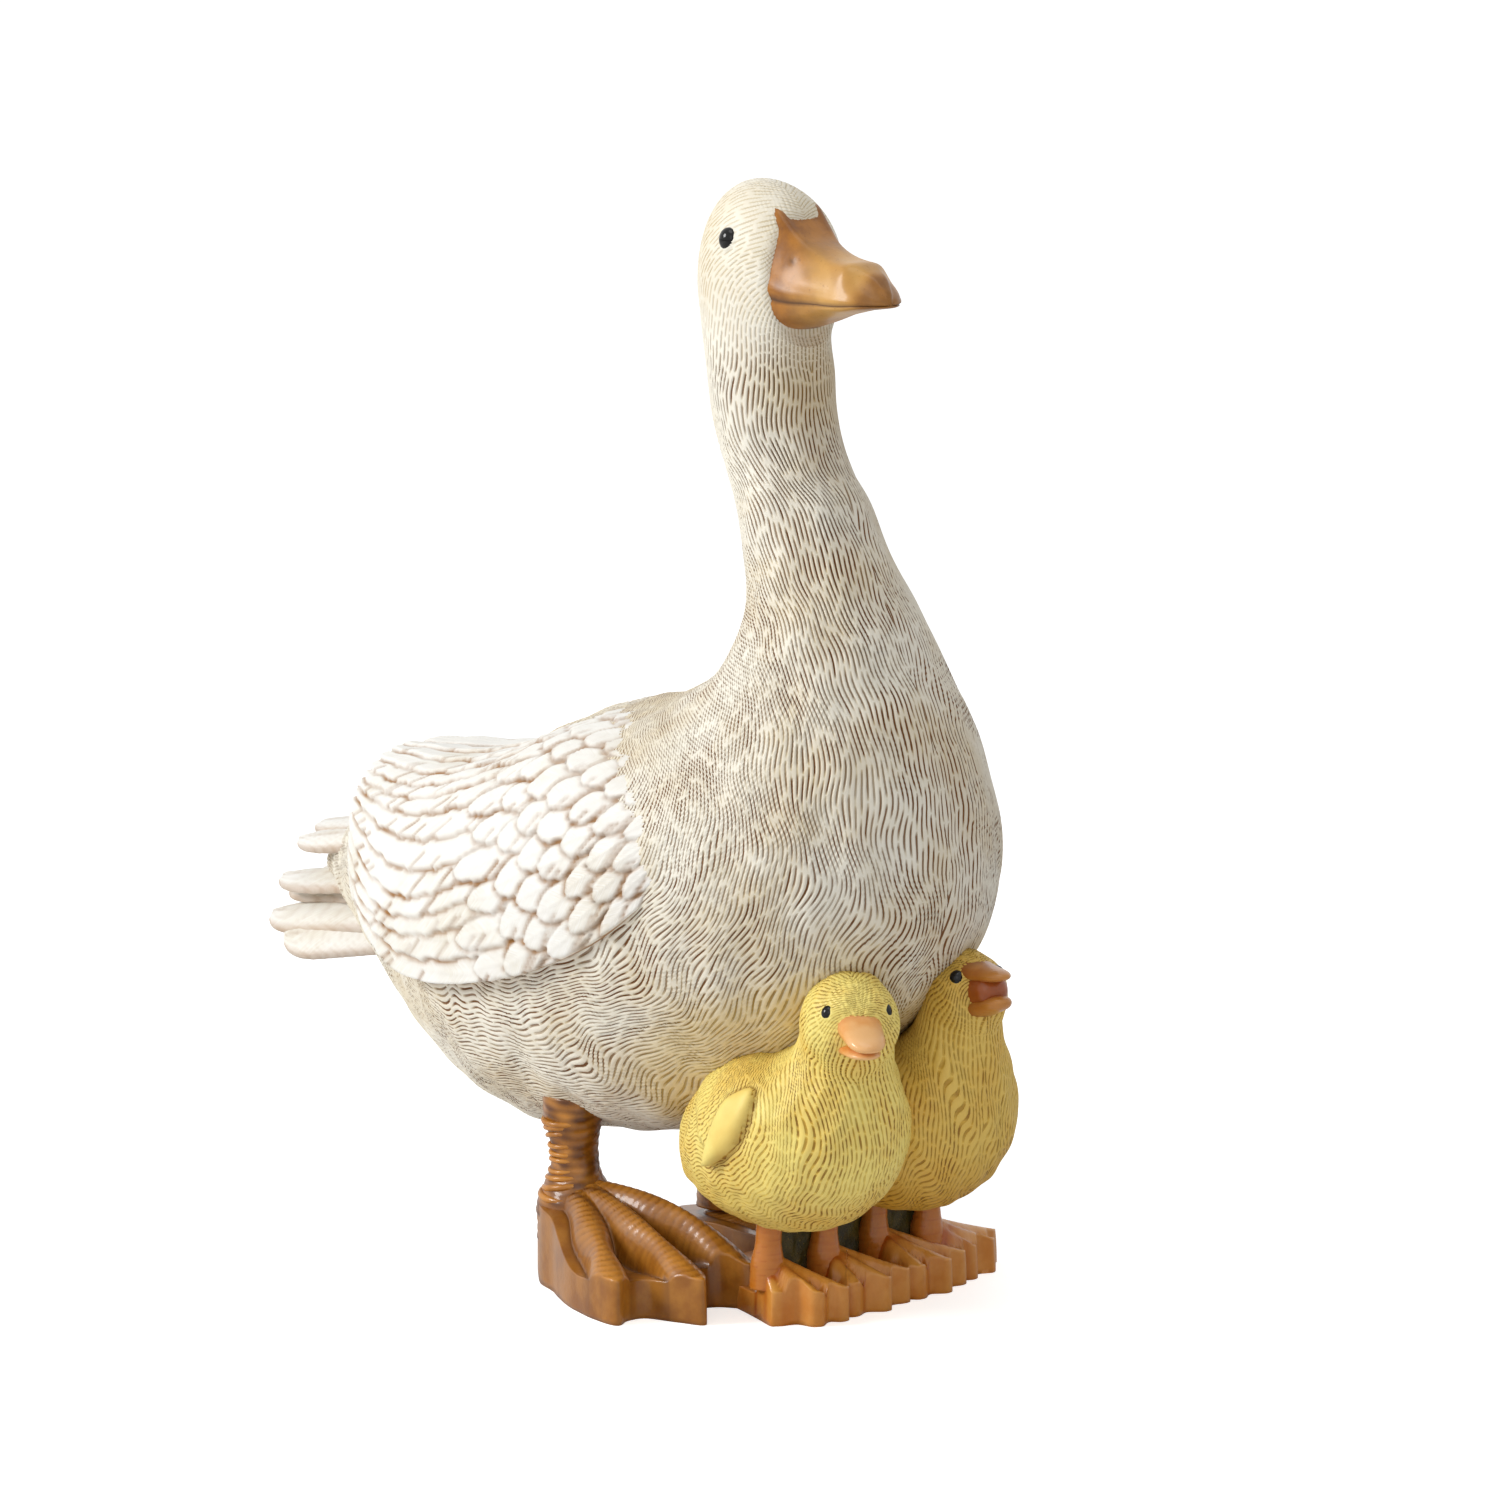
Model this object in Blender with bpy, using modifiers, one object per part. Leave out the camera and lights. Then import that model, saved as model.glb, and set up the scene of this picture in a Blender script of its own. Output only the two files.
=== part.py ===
# Garden figure of a standing duck with two ducklings pressed against its breast, cast in one piece.
# The forms below are the masses of clay that a modeller would put together: body, neck and head in one
# skin, folded wings and tail laid on as feathers, legs, webbed feet and the young.
# They are fused into one casting and cut flat under the feet.
# +X is the way the duck faces, +Y is its left side, +Z is up, and the sizes are metres.

import math

import bmesh
import bpy
from mathutils import Matrix, Vector
from mathutils.bvhtree import BVHTree

FIGURE = "duck_garden_figure"

# Sizes of the duck's body and neck
BELLY_HEIGHT = 0.050
BODY_DEPTH = 0.176
BODY_LENGTH = 0.330
BODY_WIDTH = 0.156
NECK_LENGTH = 0.102
NECK_WIDTH = 0.046

# Sizes of the duck's head and bill
HEAD_LENGTH = 0.053
HEAD_HEIGHT = 0.060
HEAD_WIDTH = 0.045
HEAD_TURN = -6.0
BILL_LENGTH = 0.056
BILL_WIDTH = 0.035
BILL_HEIGHT = 0.040
BILL_DROP = 0.0025
EYE_DIAMETER = 0.008

# Sizes of the wings and the tail
WING_WIDTH = 0.167
WING_LENGTH = 0.215
LONG_FEATHERS = 9
LONG_FEATHER_WIDTH = 0.017
COVERTS = 7
COVERT_LENGTH = 0.040
COVERT_WIDTH = 0.014
SCAPULAR_ROWS = 4
SCAPULARS_IN_ROW = 6
SCAPULAR_LENGTH = 0.026
SCAPULAR_WIDTH = 0.013
FEATHER_THICKNESS = 0.0045
FEATHER_TILT = 13.0
TAIL_LENGTH = 0.066
TAIL_FEATHER_WIDTH = 0.024

# Sizes of the duck's legs and feet
LEG_SPREAD = 0.076
LEG_DIAMETER = 0.022
ANKLE_HEIGHT = 0.022
FOOT_LENGTH = 0.0855
FOOT_ANGLE = 11.0
TOE_ANGLE = 21.0
TOE_DIAMETER = 0.013
WEB_HEIGHT = 0.0145

# Sizes of the ducklings
DUCKLING_LENGTH = 0.100
DUCKLING_WIDTH = 0.073
DUCKLING_DEPTH = 0.070
DUCKLING_BELLY_HEIGHT = 0.034
DUCKLING_ANKLE_HEIGHT = 0.027
DUCKLING_HEAD_DIAMETER = 0.037
DUCKLING_BILL_LENGTH = 0.011
DUCKLING_EYE_DIAMETER = 0.0050
DUCKLING_WING_THICKNESS = 0.0045
DUCKLING_LEG_DIAMETER = 0.010
DUCKLING_TOE_DIAMETER = 0.0075
DUCKLING_BASE_HEIGHT = 0.0105

# The casting: the grain to which the forms are fused, the share of its faces kept, and the depth
# below the ground to which the feet run before the flat cut
FUSE_GRAIN = 0.0016
FACE_SHARE = 0.042
CUT_DEPTH = 0.006
RING_POINTS = 48
STEPS_PER_SECTION = 3

# Sections down the head, the neck and the body. Each has the place of its upper or back point, the
# place of its lower or front point, and its half width.
# Head: shares of the head's length ahead of its middle, of its height above the throat, of its width.
HEAD_SECTIONS = [
    (0.46, 0.65, 0.46, 0.17, 0.25),
    (0.41, 0.81, 0.46, 0.08, 0.39),
    (0.25, 0.93, 0.47, 0.05, 0.44),
    (0.05, 0.99, 0.48, 0.03, 0.48),
    (-0.16, 0.98, 0.49, 0.02, 0.50),
    (-0.35, 0.87, 0.50, 0.01, 0.50),
    (-0.47, 0.68, 0.50, 0.00, 0.50),
    (-0.52, 0.45, 0.50, -0.03, 0.50),
    (-0.47, 0.18, 0.50, -0.08, 0.50),
]
# Neck: shares of the body's length ahead of the legs' line, of the neck's length above the shoulders,
# and of the neck's width.
NECK_SECTIONS = [
    (-0.094, 0.93, 0.053, 0.86, 0.50),
    (-0.083, 0.75, 0.056, 0.72, 0.50),
    (-0.070, 0.59, 0.070, 0.57, 0.50),
    (-0.048, 0.45, 0.100, 0.43, 0.53),
    (-0.035, 0.31, 0.123, 0.29, 0.57),
    (-0.024, 0.18, 0.147, 0.15, 0.62),
    (-0.018, 0.05, 0.173, 0.01, 0.72),
]
# Body: shares of the body's length ahead of the figure's middle, of its depth above the belly, and of
# its width.
BODY_SECTIONS = [
    (-0.027, 1.12, 0.197, 1.07, 0.25),
    (-0.052, 1.05, 0.227, 0.96, 0.30),
    (-0.091, 1.00, 0.245, 0.82, 0.365),
    (-0.133, 0.97, 0.254, 0.67, 0.42),
    (-0.176, 0.95, 0.241, 0.53, 0.465),
    (-0.218, 0.93, 0.200, 0.395, 0.49),
    (-0.261, 0.905, 0.133, 0.265, 0.50),
    (-0.300, 0.875, 0.045, 0.16, 0.50),
    (-0.336, 0.84, -0.040, 0.078, 0.49),
    (-0.373, 0.81, -0.130, 0.03, 0.475),
    (-0.415, 0.77, -0.227, 0.01, 0.445),
    (-0.461, 0.745, -0.315, -0.005, 0.40),
    (-0.503, 0.73, -0.388, 0.01, 0.355),
    (-0.545, 0.71, -0.452, 0.05, 0.305),
    (-0.585, 0.69, -0.512, 0.12, 0.26),
    (-0.624, 0.65, -0.576, 0.215, 0.21),
    (-0.664, 0.59, -0.636, 0.315, 0.165),
    (-0.700, 0.535, -0.688, 0.395, 0.11),
    (-0.727, 0.49, -0.721, 0.435, 0.06),
]
# Folded wings, from the shoulder back: share of the wings' length, height of the top, of the widest
# place and of the lower edge as shares of the body's depth, and half width as a share of the wings' width.
WING_SECTIONS = [
    (-0.01, 0.898, 0.625, 0.585, 0.425),
    (0.08, 0.926, 0.591, 0.551, 0.476),
    (0.19, 0.940, 0.568, 0.477, 0.494),
    (0.29, 0.938, 0.540, 0.426, 0.500),
    (0.40, 0.903, 0.511, 0.389, 0.491),
    (0.53, 0.835, 0.472, 0.358, 0.461),
    (0.67, 0.787, 0.443, 0.355, 0.404),
    (0.79, 0.761, 0.443, 0.392, 0.335),
    (0.88, 0.744, 0.477, 0.438, 0.266),
    (0.95, 0.722, 0.511, 0.472, 0.204),
    (0.99, 0.688, 0.545, 0.506, 0.138),
    (1.01, 0.642, 0.580, 0.540, 0.066),
]
# How square the wings' cross section is: 2 is an ellipse
WING_FULLNESS = 2.5
# The feathers of each row lie between two places of the side view, one for the lowest feather and one
# for the highest: share of the wings' length, and height as a share of the body's depth.
LONG_FEATHER_ROOTS = ((0.36, 0.43), (0.46, 0.79))
LONG_FEATHER_BENDS = ((0.70, 0.29), (0.74, 0.69))
LONG_FEATHER_TIPS = ((0.97, 0.47), (0.99, 0.71))
COVERT_ROOTS = ((0.21, 0.46), (0.31, 0.77))
SCAPULAR_ROOTS = ((0.01, 0.52), (0.09, 0.81))
SCAPULAR_ROW_STEP = 0.07
SCAPULAR_SLANT = 0.45
SHOULDER = 0.010

# Tail feathers: share of the tail's length, turn to the side and drop in degrees, and the share of
# the body's depth at which each one leaves the rump.
TAIL_FEATHERS = [
    (0.80, 0.0, 6.0, 0.56),
    (0.74, 16.0, 5.0, 0.55),
    (0.74, -16.0, 5.0, 0.55),
    (1.00, 0.0, 14.0, 0.42),
    (0.98, 14.0, 15.0, 0.41),
    (0.98, -14.0, 15.0, 0.41),
    (0.86, 27.0, 19.0, 0.38),
    (0.86, -27.0, 19.0, 0.38),
]
TAIL_ROOT = -0.196

# The ducklings' places: middle of the body, its heading, the heading of the head, its lift in degrees
# and whether the bill is open
DUCKLINGS = [
    (0.028, -0.024, -10.0, -34.0, 10.0, False),
    (0.027, 0.030, 8.0, 4.0, 24.0, True),
]
# Under each foot of a duckling: the ankle and the tips of its three toes
DUCKLING_FEET = [
    ((0.024, -0.032), ((0.033, -0.036), (0.044, -0.026), (0.045, -0.013))),
    ((0.027, -0.006), ((0.043, -0.005), (0.045, 0.009), (0.041, 0.023))),
    ((0.021, 0.026), ((0.041, 0.031), (0.041, 0.045), (0.036, 0.058))),
    ((0.026, 0.049), ((0.033, 0.067), (0.030, 0.080), (0.020, 0.091))),
]
ANKLE_LINE = -0.071
# The ground under the ducklings: its back edge, how far its corner is cut, and the fill behind the legs
BASE_BACK = -0.026
BASE_CORNER = 0.012
FILL_BACK = -0.010
FILL_FRONT = 0.015
FILL_TOP = 0.050


def clear_scene():
    for item in list(bpy.data.objects):
        bpy.data.objects.remove(item)


def collection(name):
    group = bpy.data.collections.new(name)
    bpy.context.scene.collection.children.link(group)
    return group


def turn(degrees, axis="Z"):
    return Matrix.Rotation(math.radians(degrees), 4, axis)


def between(values, place):
    """The value of a smooth curve through a list of numbers, at a place counted in steps of the list."""
    step = min(max(int(math.floor(place)), 0), len(values) - 2)
    part = place - step
    before = values[max(step - 1, 0)]
    start = values[step]
    end = values[step + 1]
    after = values[min(step + 2, len(values) - 1)]
    pull = 2 * before - 5 * start + 4 * end - after
    bend = 3 * (start - end) + after - before
    return start + 0.5 * part * (end - before + part * (pull + part * bend))


def smooth_sections(sections):
    """More sections, read from a smooth curve through the given ones."""
    columns = list(zip(*sections))
    steps = (len(sections) - 1) * STEPS_PER_SECTION
    places = [step / STEPS_PER_SECTION for step in range(steps + 1)]
    return [[between(column, place) for column in columns] for place in places]


def ring(centre, up, side):
    """Points of an ellipse, given by its centre and its two half axes."""
    angles = [2 * math.pi * index / RING_POINTS for index in range(RING_POINTS)]
    return [centre + up * math.cos(angle) + side * math.sin(angle) for angle in angles]


def section_rings(sections):
    """One ring for each section of metres: upper x and z, lower x and z, half width."""
    rings = []
    for top_x, top_z, low_x, low_z, half_width in smooth_sections(sections):
        top = Vector((top_x, 0, top_z))
        low = Vector((low_x, 0, low_z))
        rings.append(ring((top + low) / 2, (top - low) / 2, Vector((0, half_width, 0))))
    return rings


def loft(rings):
    """A closed skin through rings that all have the same number of points."""
    shape = bmesh.new()
    rows = [[shape.verts.new(point) for point in points] for points in rings]
    for row, following in zip(rows, rows[1:]):
        for index in range(len(row)):
            after = (index + 1) % len(row)
            shape.faces.new((row[index], row[after], following[after], following[index]))
    shape.faces.new(list(reversed(rows[0])))
    shape.faces.new(rows[-1])
    bmesh.ops.recalc_face_normals(shape, faces=shape.faces)
    return shape


def add_form(clay, shape):
    """Lays a finished form on the clay, as a mesh of its own."""
    mesh = bpy.data.meshes.new("form")
    shape.to_mesh(mesh)
    shape.free()
    clay.append(mesh)


def add_loft(clay, rings):
    add_form(clay, loft(rings))


def add_ball(clay, centre, half_sizes, rotation=Matrix.Identity(4)):
    size = Matrix.Diagonal((*half_sizes, 1))
    place = Matrix.Translation(centre) @ rotation @ size
    shape = bmesh.new()
    bmesh.ops.create_uvsphere(shape, u_segments=32, v_segments=20, radius=1, matrix=place)
    add_form(clay, shape)


def add_taper(clay, start, end, start_radius, end_radius):
    """A round bar between two points, with a ball on each end."""
    start = Vector(start)
    end = Vector(end)
    way = end - start
    place = Matrix.Translation((start + end) / 2) @ way.to_track_quat("Z", "Y").to_matrix().to_4x4()
    shape = bmesh.new()
    bmesh.ops.create_cone(
        shape, cap_ends=True, segments=20, radius1=start_radius, radius2=end_radius,
        depth=way.length, matrix=place)
    add_form(clay, shape)
    add_ball(clay, start, (start_radius,) * 3)
    add_ball(clay, end, (end_radius,) * 3)


def add_slab(clay, outline, top):
    """A flat slab with the given outline, from below the cut up to its top."""
    shape = bmesh.new()
    low = shape.faces.new([shape.verts.new((x, y, -CUT_DEPTH)) for x, y in outline])
    raised = bmesh.ops.extrude_face_region(shape, geom=[low], use_keep_orig=True)
    moved = [item for item in raised["geom"] if isinstance(item, bmesh.types.BMVert)]
    bmesh.ops.translate(shape, verts=moved, vec=(0, 0, top + CUT_DEPTH))
    bmesh.ops.recalc_face_normals(shape, faces=shape.faces)
    add_form(clay, shape)


def add_feather(clay, path, outward, half_width, tilt):
    """A plate along a path, round at the tip and thickest along its quill, with its lower edge raised."""
    raised = math.sin(math.radians(tilt))
    rings = []
    last = len(path) - 1
    for index, point in enumerate(path):
        share = index / last
        way = (path[min(index + 1, last)] - path[max(index - 1, 0)]).normalized()
        across = way.cross(outward[index]).normalized()
        if across.z < 0:
            across = -across
        across = across - outward[index] * raised
        swell = max(math.sin(math.pi * (0.12 + 0.86 * share)) ** 0.45, 0.12)
        lift = outward[index] * FEATHER_THICKNESS / 2
        rings.append(ring(point, lift * swell, across * half_width * swell))
    add_loft(clay, rings)


# The duck's body, neck and head, as one skin

def shoulder_height():
    return BELLY_HEIGHT + BODY_DEPTH


def throat_height():
    return shoulder_height() + NECK_LENGTH + 0.024


def head_middle():
    return Vector((-0.010, 0, throat_height()))


def head_sections():
    middle = head_middle()
    result = []
    for top_x, top_z, low_x, low_z, width in HEAD_SECTIONS:
        result.append((
            middle.x + top_x * HEAD_LENGTH, middle.z + top_z * HEAD_HEIGHT,
            middle.x + low_x * HEAD_LENGTH, middle.z + low_z * HEAD_HEIGHT,
            width * HEAD_WIDTH))
    return result


def neck_sections():
    base = shoulder_height() + 0.027
    result = []
    for top_x, top_z, low_x, low_z, width in NECK_SECTIONS:
        result.append((
            top_x * BODY_LENGTH, base + top_z * NECK_LENGTH,
            low_x * BODY_LENGTH, base + low_z * NECK_LENGTH,
            width * NECK_WIDTH))
    return result


def body_sections():
    result = []
    for top_x, top_z, low_x, low_z, width in BODY_SECTIONS:
        result.append((
            top_x * BODY_LENGTH, BELLY_HEIGHT + top_z * BODY_DEPTH,
            low_x * BODY_LENGTH, BELLY_HEIGHT + low_z * BODY_DEPTH,
            width * BODY_WIDTH))
    return result


def add_body(clay):
    add_loft(clay, section_rings(head_sections() + neck_sections() + body_sections()))


def add_bill(clay):
    """The bill runs out of the face, wide and flat at its tip, with the eyes beside it."""
    middle = head_middle()
    facing = Matrix.Translation((middle.x, 0, 0)) @ turn(HEAD_TURN)
    rings = []
    for share, width, height, drop in (
            (-0.12, 0.90, 0.97, 0.0), (0.08, 1.00, 1.00, 0.0), (0.28, 0.93, 0.83, 0.1),
            (0.48, 0.82, 0.62, 0.2), (0.62, 0.76, 0.46, 0.3), (0.82, 0.74, 0.36, 0.3),
            (0.93, 0.56, 0.25, 0.6), (1.00, 0.22, 0.09, 1.0)):
        ahead = HEAD_LENGTH * 0.27 + share * BILL_LENGTH
        level = middle.z + HEAD_HEIGHT * 0.42 - drop * BILL_DROP
        centre = facing @ Vector((ahead, 0, level))
        side = facing.to_3x3() @ Vector((0, width * BILL_WIDTH / 2, 0))
        rings.append(ring(centre, Vector((0, 0, height * BILL_HEIGHT / 2)), side))
    add_loft(clay, rings)
    for side in (-1, 1):
        eye = facing @ Vector((HEAD_LENGTH * 0.10, side * HEAD_WIDTH * 0.44, middle.z + HEAD_HEIGHT * 0.63))
        add_ball(clay, eye, (EYE_DIAMETER / 2,) * 3)


# The folded wings and the tail

def wing_rings():
    """Full rounded rings, each with its widest place nearer the lower edge than the top."""
    rings = []
    angles = [2 * math.pi * index / RING_POINTS for index in range(RING_POINTS)]
    for along, top, middle, edge, width in smooth_sections(WING_SECTIONS):
        points = []
        for angle in angles:
            up = math.copysign(abs(math.cos(angle)) ** (2 / WING_FULLNESS), math.cos(angle))
            aside = math.copysign(abs(math.sin(angle)) ** (2 / WING_FULLNESS), math.sin(angle))
            height = middle + up * (top - middle if up > 0 else middle - edge)
            x, z = wing_place(along, height)
            points.append(Vector((x, aside * width * WING_WIDTH, z)))
        rings.append(points)
    return rings


def wing_place(along, height):
    """A place in the wing's side view: along it from the shoulder, and up the body's depth."""
    return (SHOULDER - along * WING_LENGTH, BELLY_HEIGHT + height * BODY_DEPTH)


def laid_on(skin, places, side, lift):
    """Points on the wing's skin beside places of its side view, and the skin's outward directions."""
    points = []
    outward = []
    for share, (x, z) in enumerate(places):
        start = Vector((x, side * WING_WIDTH, z))
        hit, normal, _, _ = skin.ray_cast(start, Vector((0, -side, 0)))
        if hit is None:
            hit, normal, _, _ = skin.find_nearest(Vector((x, side * WING_WIDTH * 0.1, z)))
        points.append(hit + normal * lift * (0.3 + 0.7 * share / len(places)))
        outward.append(normal)
    return points, outward


def arc(start, bend, end, steps):
    """Places along a curve that leaves start for bend and arrives at end."""
    places = []
    for index in range(steps + 1):
        share = index / steps
        rest = 1 - share
        x = rest * rest * start[0] + 2 * rest * share * bend[0] + share * share * end[0]
        z = rest * rest * start[1] + 2 * rest * share * bend[1] + share * share * end[1]
        places.append((x, z))
    return places


def row_place(ends, share):
    """A place between the lowest and the highest feather of a row."""
    lowest, highest = ends
    along = lowest[0] + (highest[0] - lowest[0]) * share
    height = lowest[1] + (highest[1] - lowest[1]) * share
    return wing_place(along, height)


def add_wings(clay):
    """Both folded wings: their mass over the back and flanks, and the feathers laid on it."""
    mass = loft(wing_rings())
    skin = BVHTree.FromBMesh(mass)
    add_form(clay, mass)
    for side in (-1, 1):
        for index in range(LONG_FEATHERS):
            up = index / (LONG_FEATHERS - 1)
            start = row_place(LONG_FEATHER_ROOTS, up)
            bend = row_place(LONG_FEATHER_BENDS, up)
            end = row_place(LONG_FEATHER_TIPS, up)
            path, outward = laid_on(skin, arc(start, bend, end, 10), side, 0)
            add_feather(clay, path, outward, LONG_FEATHER_WIDTH / 2, FEATHER_TILT)
        for index in range(COVERTS):
            up = index / (COVERTS - 1)
            x, z = row_place(COVERT_ROOTS, up)
            end = (x - COVERT_LENGTH, z - COVERT_LENGTH * (0.10 - 0.12 * up))
            places = arc((x, z), ((x + end[0]) / 2, z - COVERT_LENGTH * 0.08), end, 6)
            path, outward = laid_on(skin, places, side, FEATHER_THICKNESS / 4)
            add_feather(clay, path, outward, COVERT_WIDTH / 2, FEATHER_TILT)
        for row in range(SCAPULAR_ROWS):
            for index in range(SCAPULARS_IN_ROW):
                up = (index + 0.5 * (row % 2)) / (SCAPULARS_IN_ROW - 0.5)
                x, z = row_place(SCAPULAR_ROOTS, up)
                x -= SCAPULAR_ROW_STEP * row * WING_LENGTH
                end = (x - SCAPULAR_LENGTH, z - SCAPULAR_LENGTH * SCAPULAR_SLANT)
                places = arc((x, z), (x - SCAPULAR_LENGTH / 2, z), end, 5)
                path, outward = laid_on(skin, places, side, FEATHER_THICKNESS / 4)
                add_feather(clay, path, outward, SCAPULAR_WIDTH / 2, FEATHER_TILT)


def add_tail(clay):
    for length, aside, drop, height in TAIL_FEATHERS:
        root = Vector((TAIL_ROOT + 0.02, 0, BELLY_HEIGHT + height * BODY_DEPTH))
        way = turn(aside) @ turn(-drop, "Y") @ Vector((-1, 0, 0))
        reach = (length * TAIL_LENGTH + 0.02)
        path = [root + way * reach * index / 8 for index in range(9)]
        upward = turn(aside * 1.2, "X") @ Vector((0, 0, 1))
        add_feather(clay, path, [upward] * len(path), TAIL_FEATHER_WIDTH / 2, 0)
    rump = Vector((TAIL_ROOT, 0, BELLY_HEIGHT + 0.45 * BODY_DEPTH))
    add_ball(clay, rump, (0.036, 0.026, 0.020), turn(-14, "Y"))


# The duck's legs and webbed feet

def add_leg(clay, side):
    """A leg out of the belly, and a foot with three toes and the webs between them."""
    hip = Vector((ANKLE_LINE - 0.004, side * LEG_SPREAD / 2, BELLY_HEIGHT + LEG_DIAMETER / 2))
    ankle = Vector((ANKLE_LINE, side * LEG_SPREAD / 2, ANKLE_HEIGHT))
    add_taper(clay, hip, ankle, LEG_DIAMETER * 0.56, LEG_DIAMETER * 0.50)
    heading = turn(side * FOOT_ANGLE)
    outline = [ankle.xy - (heading @ Vector((LEG_DIAMETER, 0, 0))).xy]
    tips = []
    for number, (reach, web) in enumerate(((0.83, 0.84), (1.00, 0.80), (0.92, 0.0))):
        angle = (1 - number) * TOE_ANGLE * side
        way = turn(angle) @ heading @ Vector((1, 0, 0))
        tip = ankle + way * FOOT_LENGTH * reach
        tips.append(tip)
        outline.append(tip.xy)
        if number < 2:
            notch = turn(angle - TOE_ANGLE * side / 2) @ heading @ Vector((FOOT_LENGTH * web, 0, 0))
            outline.append((ankle + notch).xy)
    if side < 0:
        outline.reverse()
    add_slab(clay, outline, WEB_HEIGHT)
    for tip in tips:
        end = Vector((tip.x, tip.y, WEB_HEIGHT - TOE_DIAMETER * 0.30))
        end = end - (end - ankle).normalized() * TOE_DIAMETER * 0.5
        start = ankle - Vector((0, 0, TOE_DIAMETER * 0.45))
        add_taper(clay, start, end, TOE_DIAMETER * 0.75, TOE_DIAMETER / 2)
        foot = Vector((end.x, end.y, 0))
        add_taper(clay, end, foot, TOE_DIAMETER / 2, TOE_DIAMETER / 2)
    swelling = (LEG_DIAMETER * 0.70, LEG_DIAMETER * 0.62, ANKLE_HEIGHT * 0.75)
    add_ball(clay, ankle - Vector((0.004, 0, 0.006)), swelling)


# The ducklings, and the ground that they stand on

def add_duckling(clay, x, y, heading, facing, lift, open_bill):
    """A round body with a small wing on each side, a neck and a turned head."""
    place = Matrix.Translation((x, y, 0)) @ turn(heading)
    middle = DUCKLING_BELLY_HEIGHT + DUCKLING_DEPTH / 2
    half = Vector((DUCKLING_LENGTH / 2, DUCKLING_WIDTH / 2, DUCKLING_DEPTH / 2))
    add_ball(clay, place @ Vector((0, 0, middle)), half, turn(heading) @ turn(-8, "Y"))
    chest = place @ Vector((half.x * 0.42, 0, middle + half.z * 0.22))
    add_ball(clay, chest, (half.x * 0.55, half.y * 0.82, half.z * 0.80), turn(heading))
    radius = DUCKLING_HEAD_DIAMETER / 2
    head = place @ Vector((half.x * 0.63, 0, DUCKLING_BELLY_HEIGHT + DUCKLING_DEPTH + radius * 0.75))
    add_taper(clay, chest, head, half.y * 0.66, radius * 0.84)
    look = Matrix.Translation(head) @ turn(facing) @ turn(-lift, "Y")
    add_ball(clay, head, (radius * 1.06, radius * 0.98, radius), turn(facing))
    half_bill = DUCKLING_BILL_LENGTH * 0.55
    jaws = ((0.30, 0.10), (-0.55, -24.0)) if open_bill else ((-0.05, 0.0), (-0.22, 0.0))
    for rise, droop in jaws:
        root = Vector((radius * 0.85, 0, radius * rise))
        jaw = look @ (root + turn(-droop, "Y") @ Vector((DUCKLING_BILL_LENGTH / 2, 0, 0)))
        sizes = (DUCKLING_BILL_LENGTH * 0.85, half_bill, half_bill * 0.55)
        add_ball(clay, jaw, sizes, turn(facing) @ turn(-lift - droop, "Y"))
    for side in (-1, 1):
        eye = look @ Vector((radius * 0.45, side * radius * 0.80, radius * 0.25))
        add_ball(clay, eye, (DUCKLING_EYE_DIAMETER / 2,) * 3)
        wing = place @ Vector((-half.x * 0.10, side * half.y * 0.93, middle + half.z * 0.25))
        sizes = (half.x * 0.34, DUCKLING_WING_THICKNESS, half.z * 0.26)
        add_ball(clay, wing, sizes, turn(heading + side * 14) @ turn(-32, "Y"))


def add_ducklings_feet(clay):
    """Legs, toes, the low base under them and the solid fill behind the legs."""
    level = DUCKLING_BASE_HEIGHT
    radius = DUCKLING_TOE_DIAMETER / 2
    outline = []
    for (x, y), tips in DUCKLING_FEET:
        ankle = Vector((x, y, DUCKLING_ANKLE_HEIGHT))
        hip = Vector((x, y, DUCKLING_BELLY_HEIGHT + DUCKLING_DEPTH * 0.20))
        add_taper(clay, hip, ankle, DUCKLING_LEG_DIAMETER * 0.55, DUCKLING_LEG_DIAMETER * 0.50)
        for tip_x, tip_y in tips:
            way = (Vector((tip_x, tip_y, 0)) - Vector((x, y, 0))).normalized()
            end = Vector((tip_x, tip_y, level)) - way * radius
            add_taper(clay, ankle - Vector((0, 0, radius)), end, radius * 1.1, radius)
            add_taper(clay, end, Vector((end.x, end.y, 0)), radius, radius)
            outline.append((end.x, end.y))
    first = outline[0]
    last = outline[-1]
    outline += [(BASE_BACK, last[1]), (BASE_BACK, first[1] + BASE_CORNER)]
    add_slab(clay, outline, level)
    left = DUCKLING_FEET[-1][0][1]
    right = DUCKLING_FEET[0][0][1]
    middle = ((FILL_BACK + FILL_FRONT) / 2, (left + right) / 2, (level + FILL_TOP) / 2)
    size = (FILL_FRONT - FILL_BACK, left - right, FILL_TOP - level / 2)
    fill = Matrix.Translation(middle) @ Matrix.Diagonal((*size, 1))
    block = bmesh.new()
    bmesh.ops.create_cube(block, size=1, matrix=fill)
    add_form(clay, block)


# The casting

def casting_material():
    material = bpy.data.materials.new("painted_casting")
    material.use_nodes = True
    shader = material.node_tree.nodes["Principled BSDF"]
    shader.inputs["Base Color"].default_value = (0.78, 0.73, 0.62, 1)
    shader.inputs["Roughness"].default_value = 0.62
    shader.inputs["Metallic"].default_value = 0.0
    return material


def one_mesh(clay):
    """All the forms in one mesh, with the middle of the figure's ground plan over the origin."""
    together = bmesh.new()
    for form in clay:
        together.from_mesh(form)
        bpy.data.meshes.remove(form)
    middle = []
    for axis in (0, 1):
        places = [vert.co[axis] for vert in together.verts]
        middle.append((min(places) + max(places)) / 2)
    bmesh.ops.translate(together, verts=together.verts, vec=(-middle[0], -middle[1], 0))
    mesh = bpy.data.meshes.new(FIGURE)
    together.to_mesh(mesh)
    together.free()
    return mesh


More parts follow.
